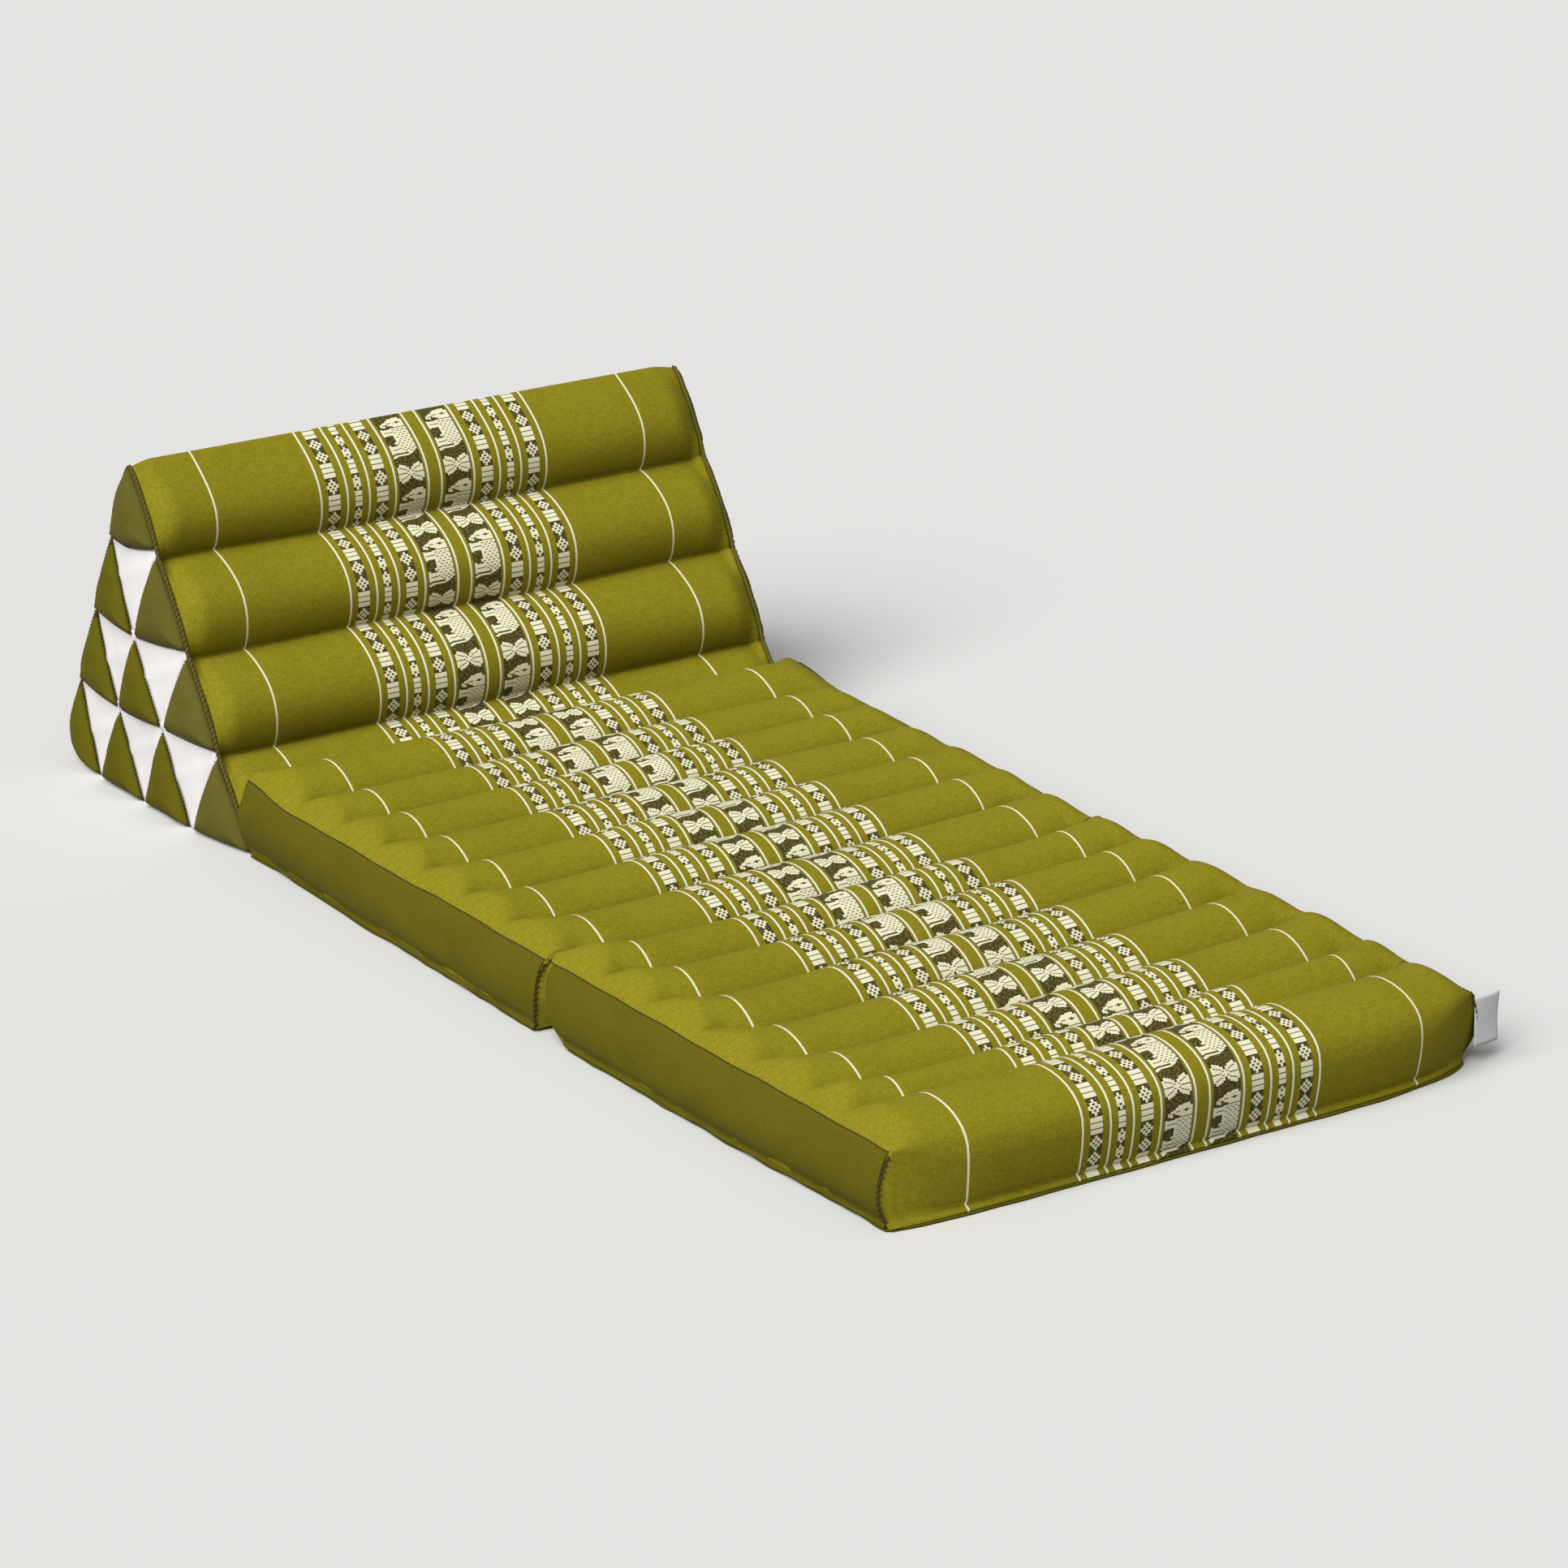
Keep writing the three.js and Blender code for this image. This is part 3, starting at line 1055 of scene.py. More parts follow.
class CUSHION_OT_backrest_cover(bpy.types.Operator):
    """Builds the channelled cover of the backrest"""

    bl_idname = "cushion.backrest_cover"
    bl_label = "Backrest cover"

    def execute(self, context):
        sizes = context.scene.mat_backrest
        per_side = sizes.rolls * WEDGE_ROLL_CELLS
        around = 3 * per_side
        bm = bmesh.new()
        bmesh.ops.create_cone(
            bm, cap_ends=True, segments=around, radius1=1, radius2=1, depth=2,
            matrix=Matrix.Rotation(math.pi / 2, 4, "Y"),
        )
        lengthwise = [e for e in bm.edges if abs(e.verts[0].co.x - e.verts[1].co.x) > 1]
        bmesh.ops.subdivide_edges(bm, edges=lengthwise, cuts=WEDGE_ACROSS - 1)
        caps = [face for face in bm.faces if len(face.verts) == around]
        bmesh.ops.inset_individual(bm, faces=caps, thickness=1 - CAP_RADIUS, depth=0)
        start = min(math.atan2(v.co.z, v.co.y) % math.tau for v in bm.verts)
        runs = [wedge_run(sizes, side) for side in range(3)]
        middle_of_section = Vector((sizes.top_edge, sizes.height / 3))

        def step_of(point):
            turned = (math.atan2(point.z, point.y) - start) / math.tau
            return round(turned * around) % around

        def corner(face, point):
            """The side of a face, how far along it the face lies, and how far along it a corner does."""
            middle = face.calc_center_median()
            turned = (math.atan2(middle.z, middle.y) - start) / math.tau % 1 * 3
            side = min(2, int(turned))
            step = (step_of(point) - side * per_side) % around
            return side, turned % 1, closer(min(1.0, step / per_side), sizes.rolls)

        def cloth_uv(face, point):
            side, middle, along = corner(face, point)
            across = across_at(sizes, point.x)
            run = at_share(runs[side], along)
            if side == 0:
                return across, run
            roll = min(sizes.rolls - 1, int(middle * sizes.rolls))
            if side == 2:
                return across, WEDGE_PHASES[roll] - at_share(runs[side], (roll + 1) / sizes.rolls) + run
            top_roll = at_share(runs[2], 1 / sizes.rolls)
            tucks = (sizes.rolls - 1 - roll) * WEDGE_TUCK
            return across, WEDGE_PHASES[0] - top_roll - (runs[side][-1] - run) - tucks

        def bake_uv(face, point):
            if abs(face.normal.x) > SQUARE:
                return hidden_place(0, (point.y + 1) / 2, (point.z + 1) / 2)
            side, _, along = corner(face, point)
            if side == 0:
                return hidden_place(2, (point.x + 1) / 2, along)
            across = across_at(sizes, face.calc_center_median().x)
            side_along = lerp(*SIDE_RUNS[side == 1], along)
            return strip_place(sizes, across, across_at(sizes, point.x), side == 1, along, side_along)

        # Painted shade on the cover: darkest right at a channel's lower seam, and fading upwards.
        def painted_shade_uv(face, point):
            side, _, along = corner(face, point)
            if side == 0 or abs(face.normal.x) > SQUARE:
                return 0.0, 0.0
            inside = along * sizes.rolls % 1
            from_low = 1 - inside if side == 2 else inside
            near_edge = min(along, 1 - along) * sizes.rolls < 0.5
            if near_edge and from_low > 0.5:
                return 0.0, 0.0
            return (1 - min(1.0, from_low * WEDGE_SHADE_SLOPE)) ** 2, 0.0

        def place(x, y, z):
            across = across_at(sizes, x)
            step = step_of(Vector((x, y, z)))
            side, along = step // per_side, closer(step % per_side / per_side, sizes.rolls)
            inset = sizes.half_width - abs(across)
            full = lerp(END_FULLNESS, 1.0, math.sqrt(smooth(inset, 0, sizes.fade)))
            point = wedge_point(sizes, side, along, full, smooth(inset, 0.0, SEAM_START))
            across *= lerp(1.0, end_reach(sizes, point, x) / sizes.half_width, abs(x) ** END_STRETCH)
            if side:
                point += wedge_ripples(sizes, side, along, across, inset, full)
            if math.hypot(y, z) < (1 + CAP_RADIUS) / 2:
                across -= math.copysign(CAP_DEPTH, x)
                point = point.lerp(middle_of_section, 1 - CAP_RADIUS)
            return across, point.x, max(0.0, point.y)

        add_uv(bm, "cloth", cloth_uv)
        add_uv(bm, "crease", painted_shade_uv)
        add_uv(bm, "OFBake", bake_uv)
        reshape(bm, place)
        piece = make_piece("backrest_cover", bm, cover_material(context), "wedge_cushion")
        return {"FINISHED"}


# How far some corners of the patchwork lie off their even places: back and upwards, in millimetres.
CORNER_SHIFTS = {
    (1, 0): (4.0, 7.0),
    (2, 0): (2.0, 4.5),
    (2, 1): (0.0, -1.0),
    (3, 0): (1.5, 3.0),
    (3, 1): (1.0, 3.0),
    (3, 2): (-4.0, 0.0),
    (3, 3): (0.0, 1.5),
}
# The topmost corner lies this share of the ridge's drop below the top edge.
TOP_CORNER_DROP = 0.7
# An end reaches its full crown this far from its slanting seams.
SWELL_WIDTH = 0.10


def patch_node(sizes, row, column):
    """A corner of the patchwork: row 0 is the top, and column 0 lies on the front side."""
    (front, back), (_, top), _ = wedge_sides(sizes)
    if row == 0:
        return top - Vector((0.0, sizes.ridge_drop * TOP_CORNER_DROP))
    share = row / sizes.rolls
    shift = Vector(CORNER_SHIFTS.get((row, column), (0.0, 0.0))) * MM
    return top.lerp(front, share).lerp(top.lerp(back, share), column / row) + shift


def end_plane(sizes, point, direction):
    """How far from the middle an end lies at a point of the triangle: it swells out of its slanting seams."""
    near = 1.0
    for side in (1, 2):
        away = abs((point - wedge_sides(sizes)[side][0]).cross(side_turn(sizes, side)[0]))
        near = min(near, away / SWELL_WIDTH)
    return end_reach(sizes, point, direction) + sizes.end_crown * math.sin(near * math.pi / 2)


def end_point(sizes, point, direction, height, lowest):
    """A point this high above an end, and no lower than this above the floor."""
    out = end_plane(sizes, point, direction) + height
    return local(direction * out, point.x, max(lowest, point.y))


def pad_outline(corners, turn, bow):
    """A point on the outline of a triangle whose sides bow outwards, at a share of the way round."""
    whole = turn % 1 * 3
    index = int(whole)
    along = whole - index
    start, end = corners[index % 3], corners[(index + 1) % 3]
    side = end - start
    outward = Vector((side.y, -side.x)).normalized()
    if outward.dot((start + end) / 2 - middle_of(corners)) < 0:
        outward = -outward
    return start.lerp(end, along) + outward * bow[index % 3] * arc(along)


def middle_of(corners):
    return (corners[0] + corners[1] + corners[2]) / 3


PAD_AROUND = 60
PAD_RINGS = 24
# How square the section of a filled triangle is.
PAD_EDGE = 2.8
PAD_SQUARENESS = 0.55
PAD_CREASE = Ripple(0.0009, 55, 55)
# The puckers round a triangle's edge: their height and how many there are in a radian.
PAD_PUCKER = 0.003
PAD_PUCKERS = 26
# The lowest that the pads, the white cloth and their stitches reach.
PAD_FLOOR = 0.0008
CLOTH_FLOOR = 0.001


def pad(bm, sizes, direction, corners, bow, seed):
    """Adds one filled triangle of the patchwork."""
    made = bmesh.ops.create_uvsphere(bm, u_segments=PAD_AROUND, v_segments=PAD_RINGS, radius=1)
    for vert in made["verts"]:
        x, y, z = vert.co
        turn = math.atan2(y, x)
        reach = math.asin(min(1, math.hypot(x, y))) / (math.pi / 2)
        point = middle_of(corners).lerp(pad_outline(corners, turn / math.tau, bow), reach)
        height = 0.0
        if z > TINY:
            crown = max(0.0, 1 - reach ** PAD_EDGE) ** PAD_SQUARENESS
            pucker = PAD_PUCKER * math.sin(turn * PAD_PUCKERS + seed) * reach ** 5 * (1 - reach)
            height = sizes.pad_crown * crown + PAD_CREASE.at(point.x, point.y, seed) * arc(reach) + pucker
        vert.co = end_point(sizes, point, direction, height, PAD_FLOOR)


# How far the sides of the filled triangles bow out, and how far their corners are drawn in, as shares.
FRONT_BOW = 0.003
BOTTOM_BOW = 0.001
BACK_BOW = 0.004
INNER_BACK_BOW = 0.002
TOP_BOTTOM_BOW = 0.0025
TOP_BACK_BOW = 0.007
TOP_DRAW = 0.06
FRONT_TOP_DRAW = 0.1
SIDE_DRAW = 0.05


def pad_bow(sizes, row, column):
    """How far the sides of a filled triangle bow out: down the front, along the bottom and up the back."""
    front = FRONT_BOW if column == 0 else 0.0
    if row == 0:
        return [front, TOP_BOTTOM_BOW, TOP_BACK_BOW]
    bottom = BOTTOM_BOW if row < sizes.rolls - 1 else 0.0
    return [front, bottom, INNER_BACK_BOW if column < row else BACK_BOW]


def pad_corners(sizes, row, column):
    """Corners of a filled triangle, drawn in a little so that the white cloth shows at its tips."""
    top = patch_node(sizes, row, column)
    front = patch_node(sizes, row + 1, column)
    back = patch_node(sizes, row + 1, column + 1)
    if row > 0:
        top = top.lerp((front + back) / 2, FRONT_TOP_DRAW if column == 0 else TOP_DRAW)
    if column > 0:
        front = front.lerp(back, SIDE_DRAW)
    if column < row:
        back = back.lerp(front, SIDE_DRAW)
    return [top, front, back]


class CUSHION_OT_patchwork(bpy.types.Operator):
    """Builds the filled and the flat triangles of both ends of the backrest"""

    bl_idname = "cushion.patchwork"
    bl_label = "Patchwork ends"

    def execute(self, context):
        sizes = context.scene.mat_backrest
        white = material("white_cotton", lambda: white_cloth(context.scene.mat_colours))
        for side, direction in SIDES.items():
            node = f"wedge_end_{side}"
            groups = (
                (f"patchwork_front_pads_{side}", patch_material(context), lambda column: column == 0),
                (f"patchwork_pads_{side}", boxing_material(context), lambda column: column > 0),
            )
            for name, cloth, belongs in groups:
                bm = bmesh.new()
                for row in range(sizes.rolls):
                    for column in filter(belongs, range(row + 1)):
                        corners = pad_corners(sizes, row, column)
                        bow = pad_bow(sizes, row, column)
                        pad(bm, sizes, direction, corners, bow, row * 5 + column + direction)
                make_piece(name, bm, cloth, node)

            bm = bmesh.new()
            patches = [(row, column) for row in range(1, sizes.rolls) for column in range(row)]
            for row, column in patches:
                corners = [
                    patch_node(sizes, row, column),
                    patch_node(sizes, row, column + 1),
                    patch_node(sizes, row + 1, column + 1),
                ]
                white_patch(bm, sizes, direction, corners, row * 3 + column + 20)
            piece = make_piece(f"patchwork_whites_{side}", bm, white, node)
            width = (patch_node(sizes, 1, 1) - patch_node(sizes, 1, 0)).length
        return {"FINISHED"}


WHITE_CUTS = 15
WHITE_WRINKLE = Ripple(0.0006, 70, 35)
# One fold runs across each white triangle, near its top.
FOLD_HEIGHT = 0.0009
FOLD_WIDTH = 0.003
FOLD_DROP = 0.012
FOLD_TURN = Vector((0.35, 0.94))
# The white cloth runs on a little under the filled triangles beside it.
WHITE_SPREAD = 0.14
WHITE_RISE = 0.0012
WHITE_THICKNESS = 0.0008
SEAM_GAP = 0.0005


def white_patch(bm, sizes, direction, corners, seed):
    """Adds one flat white triangle, slightly creased."""
    part = bmesh.new()
    part.faces.new([part.verts.new((c.x, c.y, 0)) for c in corners])
    bmesh.ops.subdivide_edges(part, edges=part.edges, cuts=WHITE_CUTS, use_grid_fill=True)
    for vert in part.verts:
        point = Vector((vert.co.x, vert.co.y))
        from_fold = (point - corners[0]).dot(FOLD_TURN) + FOLD_DROP
        rise = WHITE_WRINKLE.at(point.x, point.y, seed) + FOLD_HEIGHT * bell(from_fold, FOLD_WIDTH)
        point = within_seams(sizes, point + (point - middle_of(corners)) * WHITE_SPREAD)
        vert.co = end_point(sizes, point, direction, WHITE_RISE + rise, CLOTH_FLOOR)
    part.normal_update()
    if next(iter(part.faces)).normal.x * direction < 0:
        bmesh.ops.reverse_faces(part, faces=part.faces)
        part.normal_update()
    bmesh.ops.solidify(part, geom=part.faces, thickness=WHITE_THICKNESS)
    absorb(bm, part)


def within_seams(sizes, point):
    """Moves a point of an end back inside its slanting seams."""
    for side in (1, 2):
        outward = side_turn(sizes, side)[1]
        beyond = SEAM_GAP + (point - wedge_sides(sizes)[side][0]).dot(outward)
        point = point - outward * max(0.0, beyond)
    return point


PATCH_STITCHES = Stitching(pitch=0.0031, reach=0.0036, thickness=0.0005)
PATCH_STITCH_RISE = 0.0022
WHIPPING = Stitching(pitch=0.0042, reach=0.0056, thickness=0.0006, lift=0.0016)
PIPING_RADIUS = 0.0017
PIPING_OUT = 0.001
PIPING_FLOOR = 0.002
BORDER_STEPS = 24
END_SEAM_STEPS = 96
# The middle of the section, behind the front edge and above the floor, and the lean of the piping's stitches.
CORE = (0.163, 0.09)
PIPING_LEAN = 0.8


class CUSHION_OT_backrest_stitches(bpy.types.Operator):
    """Sews the patchwork and the end seams of the backrest"""

    bl_idname = "cushion.backrest_stitches"
    bl_label = "Backrest stitches"

    def execute(self, context):
        sizes = context.scene.mat_backrest
        for side, direction in SIDES.items():
            outward = Vector((direction, 0, 0))
            patching, piping, whipping = bmesh.new(), bmesh.new(), bmesh.new()
            for row in range(sizes.rolls):
                for column in range(row + 1):
                    for line in pad_borders(sizes, direction, row, column):
                        PATCH_STITCHES.sew(patching, line, lambda point, out=outward: out)
            for slant in (2, 1):
                line = end_seam(sizes, direction, slant)
                tube(piping, line, PIPING_RADIUS, 2)
                WHIPPING.sew(whipping, line, lambda point, out=outward: piping_outward(point, out))
            for name, bm, cloth in (
                ("patchwork_stitches", patching, thread_material(context)),
                ("backrest_piping", piping, patch_material(context)),
                ("backrest_whipping", whipping, thread_material(context)),
            ):
                make_piece(f"{name}_{side}", bm, cloth, f"wedge_end_{side}")
        return {"FINISHED"}


def pad_borders(sizes, direction, row, column):
    """The sewn sides of a filled triangle that lie beside white cloth."""
    corners = pad_corners(sizes, row, column)
    bow = pad_bow(sizes, row, column)
    sewn = (column > 0, row < sizes.rolls - 1, column < row)

    def border(index, share):
        point = pad_outline(corners, (index + min(0.999, share)) / 3, bow)
        return end_point(sizes, point, direction, PATCH_STITCH_RISE, CLOTH_FLOOR)

    return [
        path(lambda share, index=index: border(index, share), BORDER_STEPS)
        for index in range(3) if sewn[index]
    ]


def end_seam(sizes, direction, side):
    """The seam between the cover and an end, down one slanting side."""
    def place(share):
        point = wedge_point(sizes, side, closer(share, sizes.rolls), END_FULLNESS, 0.0)
        out = end_reach(sizes, point, direction) + PIPING_OUT
        return local(direction * out, point.x, max(PIPING_FLOOR, point.y))

    return path(place, END_SEAM_STEPS)


def piping_outward(point, outward):
    """The way out of the backrest's edge, between its cover and its end."""
    away = Vector((0, point.y - FRONT_Y - CORE[0], point.z - CORE[1])).normalized()
    return (away + outward * PIPING_LEAN).normalized()


# ---------- mats ----------

MAT_ROLL_CELLS = 16
MAT_ACROSS = 120
MAT_LEVELS = 14
MAT_HALF = 0.25
PATTERN_LINES = (-0.196, -0.1033, 0.1033, 0.196)
PATTERN_END = 0.3
# The cover starts this high, above the base cloth.
LOW_CLOTH = 0.0018
# The channels run straight across near the near side, between these distances from the middle line.
NEAR_STRAIGHT = (0.19, 0.25)
SPREAD_POWER = 4

# The boxing's top seam: its dip at a channel seam, its drift, and the reach of a raised back corner.
SEAM_DIP = 0.0006
SEAM_DRIFT = Ripple(0.001, 5, 1, 3)
BACK_RISE_REACH = 0.08

# The section of the channels: how square they are in the middle and right at the side.
SHOULDER_SQUARENESS = 0.9
SHARP_ARCH = 0.58
SOFT_ARCH = 1.5
SOFT_VALLEY = 0.72
CROWN_FADE = 0.08
SHARP_ZONE = (-0.004, 0.014)
MAT_SWELL = Ripple(0.0016, 8, 1, 2)
SWELL_STEPS = (3.1, 50)
MAT_SWAY = Ripple(0.0014, 7, 1, 4)
SWAY_STEP = 30
SHARE_MARGIN = 0.001
MAT_GATHER = Ripple(0.0004, 130, 30, 5)
MAT_CRUMPLE = Ripple(0.0011, 26, 34, 6)
CRUMPLE_SLANT = 20 / 26
CRUMPLE_START = (0.0, 0.012)
CRUMPLE_END = (0.02, 0.075)

# The larger channel at the foot: where its crown lies, its section, and its lower edge.
FOOT_CROWN = 0.46
FOOT_ARCH = 0.62
FOOT_DROP = 0.8
FOOT_REACH = 0.95
FOOT_EDGE = 0.04
FOOT_EDGE_FADE = 0.06
# The foot face: how far it lies out, is tucked in at the floor and is drawn in at the far corner.
FOOT_OUT = 0.004
FOOT_TUCK = 0.008
CORNER_TUCKS = {"near": -0.003, "far": 0.010}
FAR_CORNER = 0.007

# The end faces are filled out up to this height share, by these amounts.
FACE_TOP = 0.85
BACK_FULLNESS = 0.005
JOINT_FULLNESS = 0.002
BACK_SLANT = 1.5
FOOT_SLANT = 1.8

SIDE_BROAD = Ripple(0.0018, 7, 1.6, 7)
SIDE_FINE = Ripple(0.0007, 24, 3, 8)
SIDE_SQUARENESS = 0.9
# A slanting back face is rounded off at its sides, by this much over this share of the length.
JOINT_ROUNDING = 0.005
JOINT_ROUNDING_REACH = 0.012
# The cloth of an end face runs this much longer than the face is high.
WALL_SLACK = 1.06


@dataclass
class Mat:
    """The shape of one mat. Lengths are in metres, and groups of three in millimetres: back, middle, foot."""

    sizes: MatSizes
    name: str
    # Widths of the channels from the back, and how far the repeat has run at the end of each.
    shares: tuple
    phases: tuple
    # Height of the channel seams at the back and at the foot.
    grooves: tuple
    back: float
    foot: float
    # How far out the near and the far side lie, at the top seam and at the floor.
    seams: dict
    floors: dict
    # How far back the far ends of the channels lie, and how much lower their crowns are.
    skews: tuple
    crowns: tuple
    # Where the pattern's outer and inner lines lie on the cloth, from the near to the far side.
    weave: tuple
    # How far the back slants in, the foot bows in, and the corners at the back stand up.
    back_tuck: float = 0.0
    foot_bow: float = 0.0
    back_rise: float = 0.0

    def __post_init__(self):
        widths = self.shares
        self.edges = [sum(widths[:k]) / sum(widths) for k in range(len(widths) + 1)]
        points = path(lambda share: Vector(self.top(0.0, share)), self.sizes.rolls * RUN_STEPS)
        self.run = running_length(points)

    def is_foot_roll(self, roll):
        return self.foot_bow > 0 and roll == self.sizes.rolls - 1

    def seam_height(self, share):
        """Height of the boxing's top seam, which dips a little at each channel seam."""
        _, inside = roll_of(share, self.sizes.rolls)
        dip = SEAM_DIP * (1 - arc(eased(inside))) * (0 < share < 1)
        rise = self.back_rise * bell(share, BACK_RISE_REACH)
        return self.sizes.seam - dip + SEAM_DRIFT.at(share, 0, self.back) + rise

    def edge(self, side, share):
        """Distance of a top seam from the middle line."""
        return self.sizes.half_width + side_offset(self.seams[side], share)

    def spread(self, across, share):
        """A distance from the middle line, where the sides are not parallel."""
        half = self.sizes.half_width
        scale = self.edge(side_of(across), share) / half
        return across * lerp(1.0, scale, (abs(across) / half) ** SPREAD_POWER)

    def skew(self, across, share):
        """How far back a point is moved, where the channels do not run straight across."""
        straightened = 1 - smooth(-across, *NEAR_STRAIGHT)
        return side_offset(self.skews, share) * across / self.sizes.half_width * straightened

    def pattern_at(self, across, share):
        """The place across the woven pattern that lies at a distance from the middle line."""
        laid = [side_offset(offsets, share) for offsets in zip(*self.weave)]
        margin = PATTERN_END - PATTERN_LINES[-1]
        laid = [laid[0] - margin, *laid, laid[-1] + margin]
        woven = (-PATTERN_END, *PATTERN_LINES, PATTERN_END)
        k = min(len(laid) - 2, sum(across >= line for line in laid[1:]))
        return lerp(woven[k], woven[k + 1], (across - laid[k]) / (laid[k + 1] - laid[k]))

    def arch(self, inside, inset, fullest):
        """How far a channel stands out between its seams: it is softer near the side."""
        wave = arc(eased(inside))
        start, end = SHARP_ZONE
        sharp = smooth(inset, self.sizes.crease_start + start, self.sizes.crease_start + end)
        return lerp(wave ** SOFT_ARCH, wave ** fullest, sharp), sharp

    def top(self, across, share):
        """Height of the top, and how far along the mat it lies, at a distance from the middle line."""
        sizes = self.sizes
        roll, inside = roll_of(share, sizes.rolls)
        inset = sizes.half_width - abs(across)
        seam = self.seam_height(share)
        rounding = math.sin(min(1.0, inset / sizes.shoulder) * math.pi / 2) ** SHOULDER_SQUARENESS
        swell = MAT_SWELL.at(across, roll * SWELL_STEPS[0] + self.back * SWELL_STEPS[1])
        crown = sizes.crown - side_offset(self.crowns, share) * smooth(inset, 0.0, CROWN_FADE)
        ridge = seam + (crown - sizes.seam + swell) * rounding
        crease = smooth(inset, sizes.crease_start, sizes.crease_full)
        valley = lerp(lerp(seam, ridge, SOFT_VALLEY), lerp(*self.grooves, share), crease)
        if self.is_foot_roll(roll):
            return self.foot_top(across, inside, valley, ridge, seam)
        arch, sharp = self.arch(inside, inset, SHARP_ARCH)
        y = lerp(*self.ends(1.0, across), lerp(self.edges[roll], self.edges[roll + 1], eased(inside)))
        if SHARE_MARGIN < share < 1 - SHARE_MARGIN:
            sway = MAT_SWAY.at(across, round(share * sizes.rolls) + self.back * SWAY_STEP)
            y += sway * (1 - arch) * sharp
        gather = MAT_GATHER.at(across, share) * (1 - arc(eased(inside))) ** 2 * crease
        near_seam = (1 - smooth(inset, *CRUMPLE_END)) * smooth(inset, *CRUMPLE_START)
        crumple = MAT_CRUMPLE.at(across + y * CRUMPLE_SLANT, y) * near_seam
        return lerp(valley, ridge, arch) + gather + crumple, y

    def foot_top(self, across, inside, valley, ridge, seam):
        """The larger channel at the foot, which rounds over to the end without a seam."""
        groove = lerp(self.back, self.foot, self.edges[-2])
        edge = self.ends(1.0, across)[1]
        crown_at = lerp(groove, edge, FOOT_CROWN)
        if inside < 0.5:
            arch, _ = self.arch(inside, self.sizes.half_width - abs(across), FOOT_ARCH)
            return lerp(valley, ridge, arch), lerp(groove, crown_at, eased(inside) * 2)
        angle = (inside - 0.5) * math.pi
        height = lerp(self.foot_edge_height(across, seam), ridge, math.cos(angle) ** FOOT_DROP)
        return height, lerp(crown_at, edge, math.sin(angle) ** FOOT_REACH)

    def foot_edge_height(self, across, seam):
        return lerp(seam, FOOT_EDGE, smooth(self.sizes.half_width - abs(across), 0.0, FOOT_EDGE_FADE))

    def ends(self, up, across):
        """How far along the back and the foot face lie at a height share."""
        full = arc(min(1.0, up / FACE_TOP)) ** 2
        fullness = JOINT_FULLNESS if self.back_tuck else BACK_FULLNESS
        back = self.back - self.back_tuck * (1 - up) ** BACK_SLANT + fullness * full
        if not self.foot_bow:
            return back, self.foot - JOINT_FULLNESS * full
        towards_side = min(1.0, abs(across) / MAT_HALF)
        bow = self.foot_bow * (1 - towards_side ** 5)
        tuck = lerp(FOOT_TUCK, CORNER_TUCKS[side_of(across)], towards_side ** 4) * (1 - up) ** FOOT_SLANT
        corner = FAR_CORNER * towards_side ** 8 if across > 0 else 0.0
        return back, self.foot - bow - FOOT_OUT + tuck + corner

    def side_x(self, up, share, side):
        """Distance of the boxing's inner face from the middle line."""
        bulge = self.sizes.side_bulge * arc(up) ** SIDE_SQUARENESS
        waves = (SIDE_BROAD.at(share, up, self.back) + SIDE_FINE.at(share, up, self.back)) * arc(up)
        rounded = JOINT_ROUNDING * bell(share, JOINT_ROUNDING_REACH) if self.back_tuck else 0.0
        floor = side_offset(self.floors[side], share) * (1 - up)
        return self.edge(side, share) + floor + bulge + waves - rounded

    def wall_run(self, up):
        """Length of cloth from the top edge of the foot face down to a height share."""
        height = self.foot_edge_height(0.0, self.sizes.seam) if self.foot_bow else self.sizes.seam
        return (1 - up) * height * WALL_SLACK


def side_of(across):
    return "far" if across > 0 else "near"


def side_offset(offsets, share):
    """A soft run through offsets given in millimetres at the back, the middle and the foot."""
    back, middle, foot = offsets
    if share < 0.5:
        return lerp(back, middle, smooth(share, 0.0, 0.5)) * MM
    return lerp(middle, foot, smooth(share, 0.5, 1.0)) * MM


def mats(context):
    sizes = context.scene.mat_sizes
    return [
        Mat(
            sizes, "mat_1", shares=(66, 60, 59, 64, 64, 65, 73), grooves=(0.059, 0.047),
            phases=(0.028, 0.038, 0.044, 0.062, 0.009, 0.016, 0.025), back=-0.008, foot=-0.4605,
            seams={"near": (0, 0, 0), "far": (8, 1, -7)}, floors={"near": (-1, 5, 9), "far": (0, 0, 0)},
            skews=(0, 6, 12), crowns=(0, 1, 4.5), back_rise=0.008,
            weave=((-191.5, -101.5, 99.5, 192), (-197, -105, 96, 188.5), (-201, -111, 95, 187)),
        ),
        Mat(
            sizes, "mat_2", shares=(58, 62, 67, 68, 66, 50, 66), grooves=(0.047, 0.046),
            phases=(0.040, 0.057, 0.066, 0.013, 0.023, 0.030, 0.0425), back=-0.465, foot=-0.899,
            seams={"near": (0, 0, 0), "far": (-7, -3, -8)}, floors={"near": (9, 9, 4), "far": (0, 0, -3)},
            skews=(12, 14, 0), crowns=(4.5, 3, 0), back_tuck=0.030, foot_bow=0.015,
            weave=((-201, -111, 95, 187), (-201, -110, 93, 185), (-193, -104, 93, 186)),
        ),
    ]


# The seam above the foot's lip, and the lip: their heights, and how far they lie in and out.
NOTCH_HEIGHT = 0.0062
NOTCH_WIDTH = 0.0009
NOTCH_DEPTH = 0.0016
LIP_HEIGHT = 0.003
LIP_OUT = 0.0035
# Shares of the bake map's height between which the tops of the channels lie.
TOP_RUN = (0.06, 0.94)
MAT_SIDE_RUN = (0.003, 0.933)
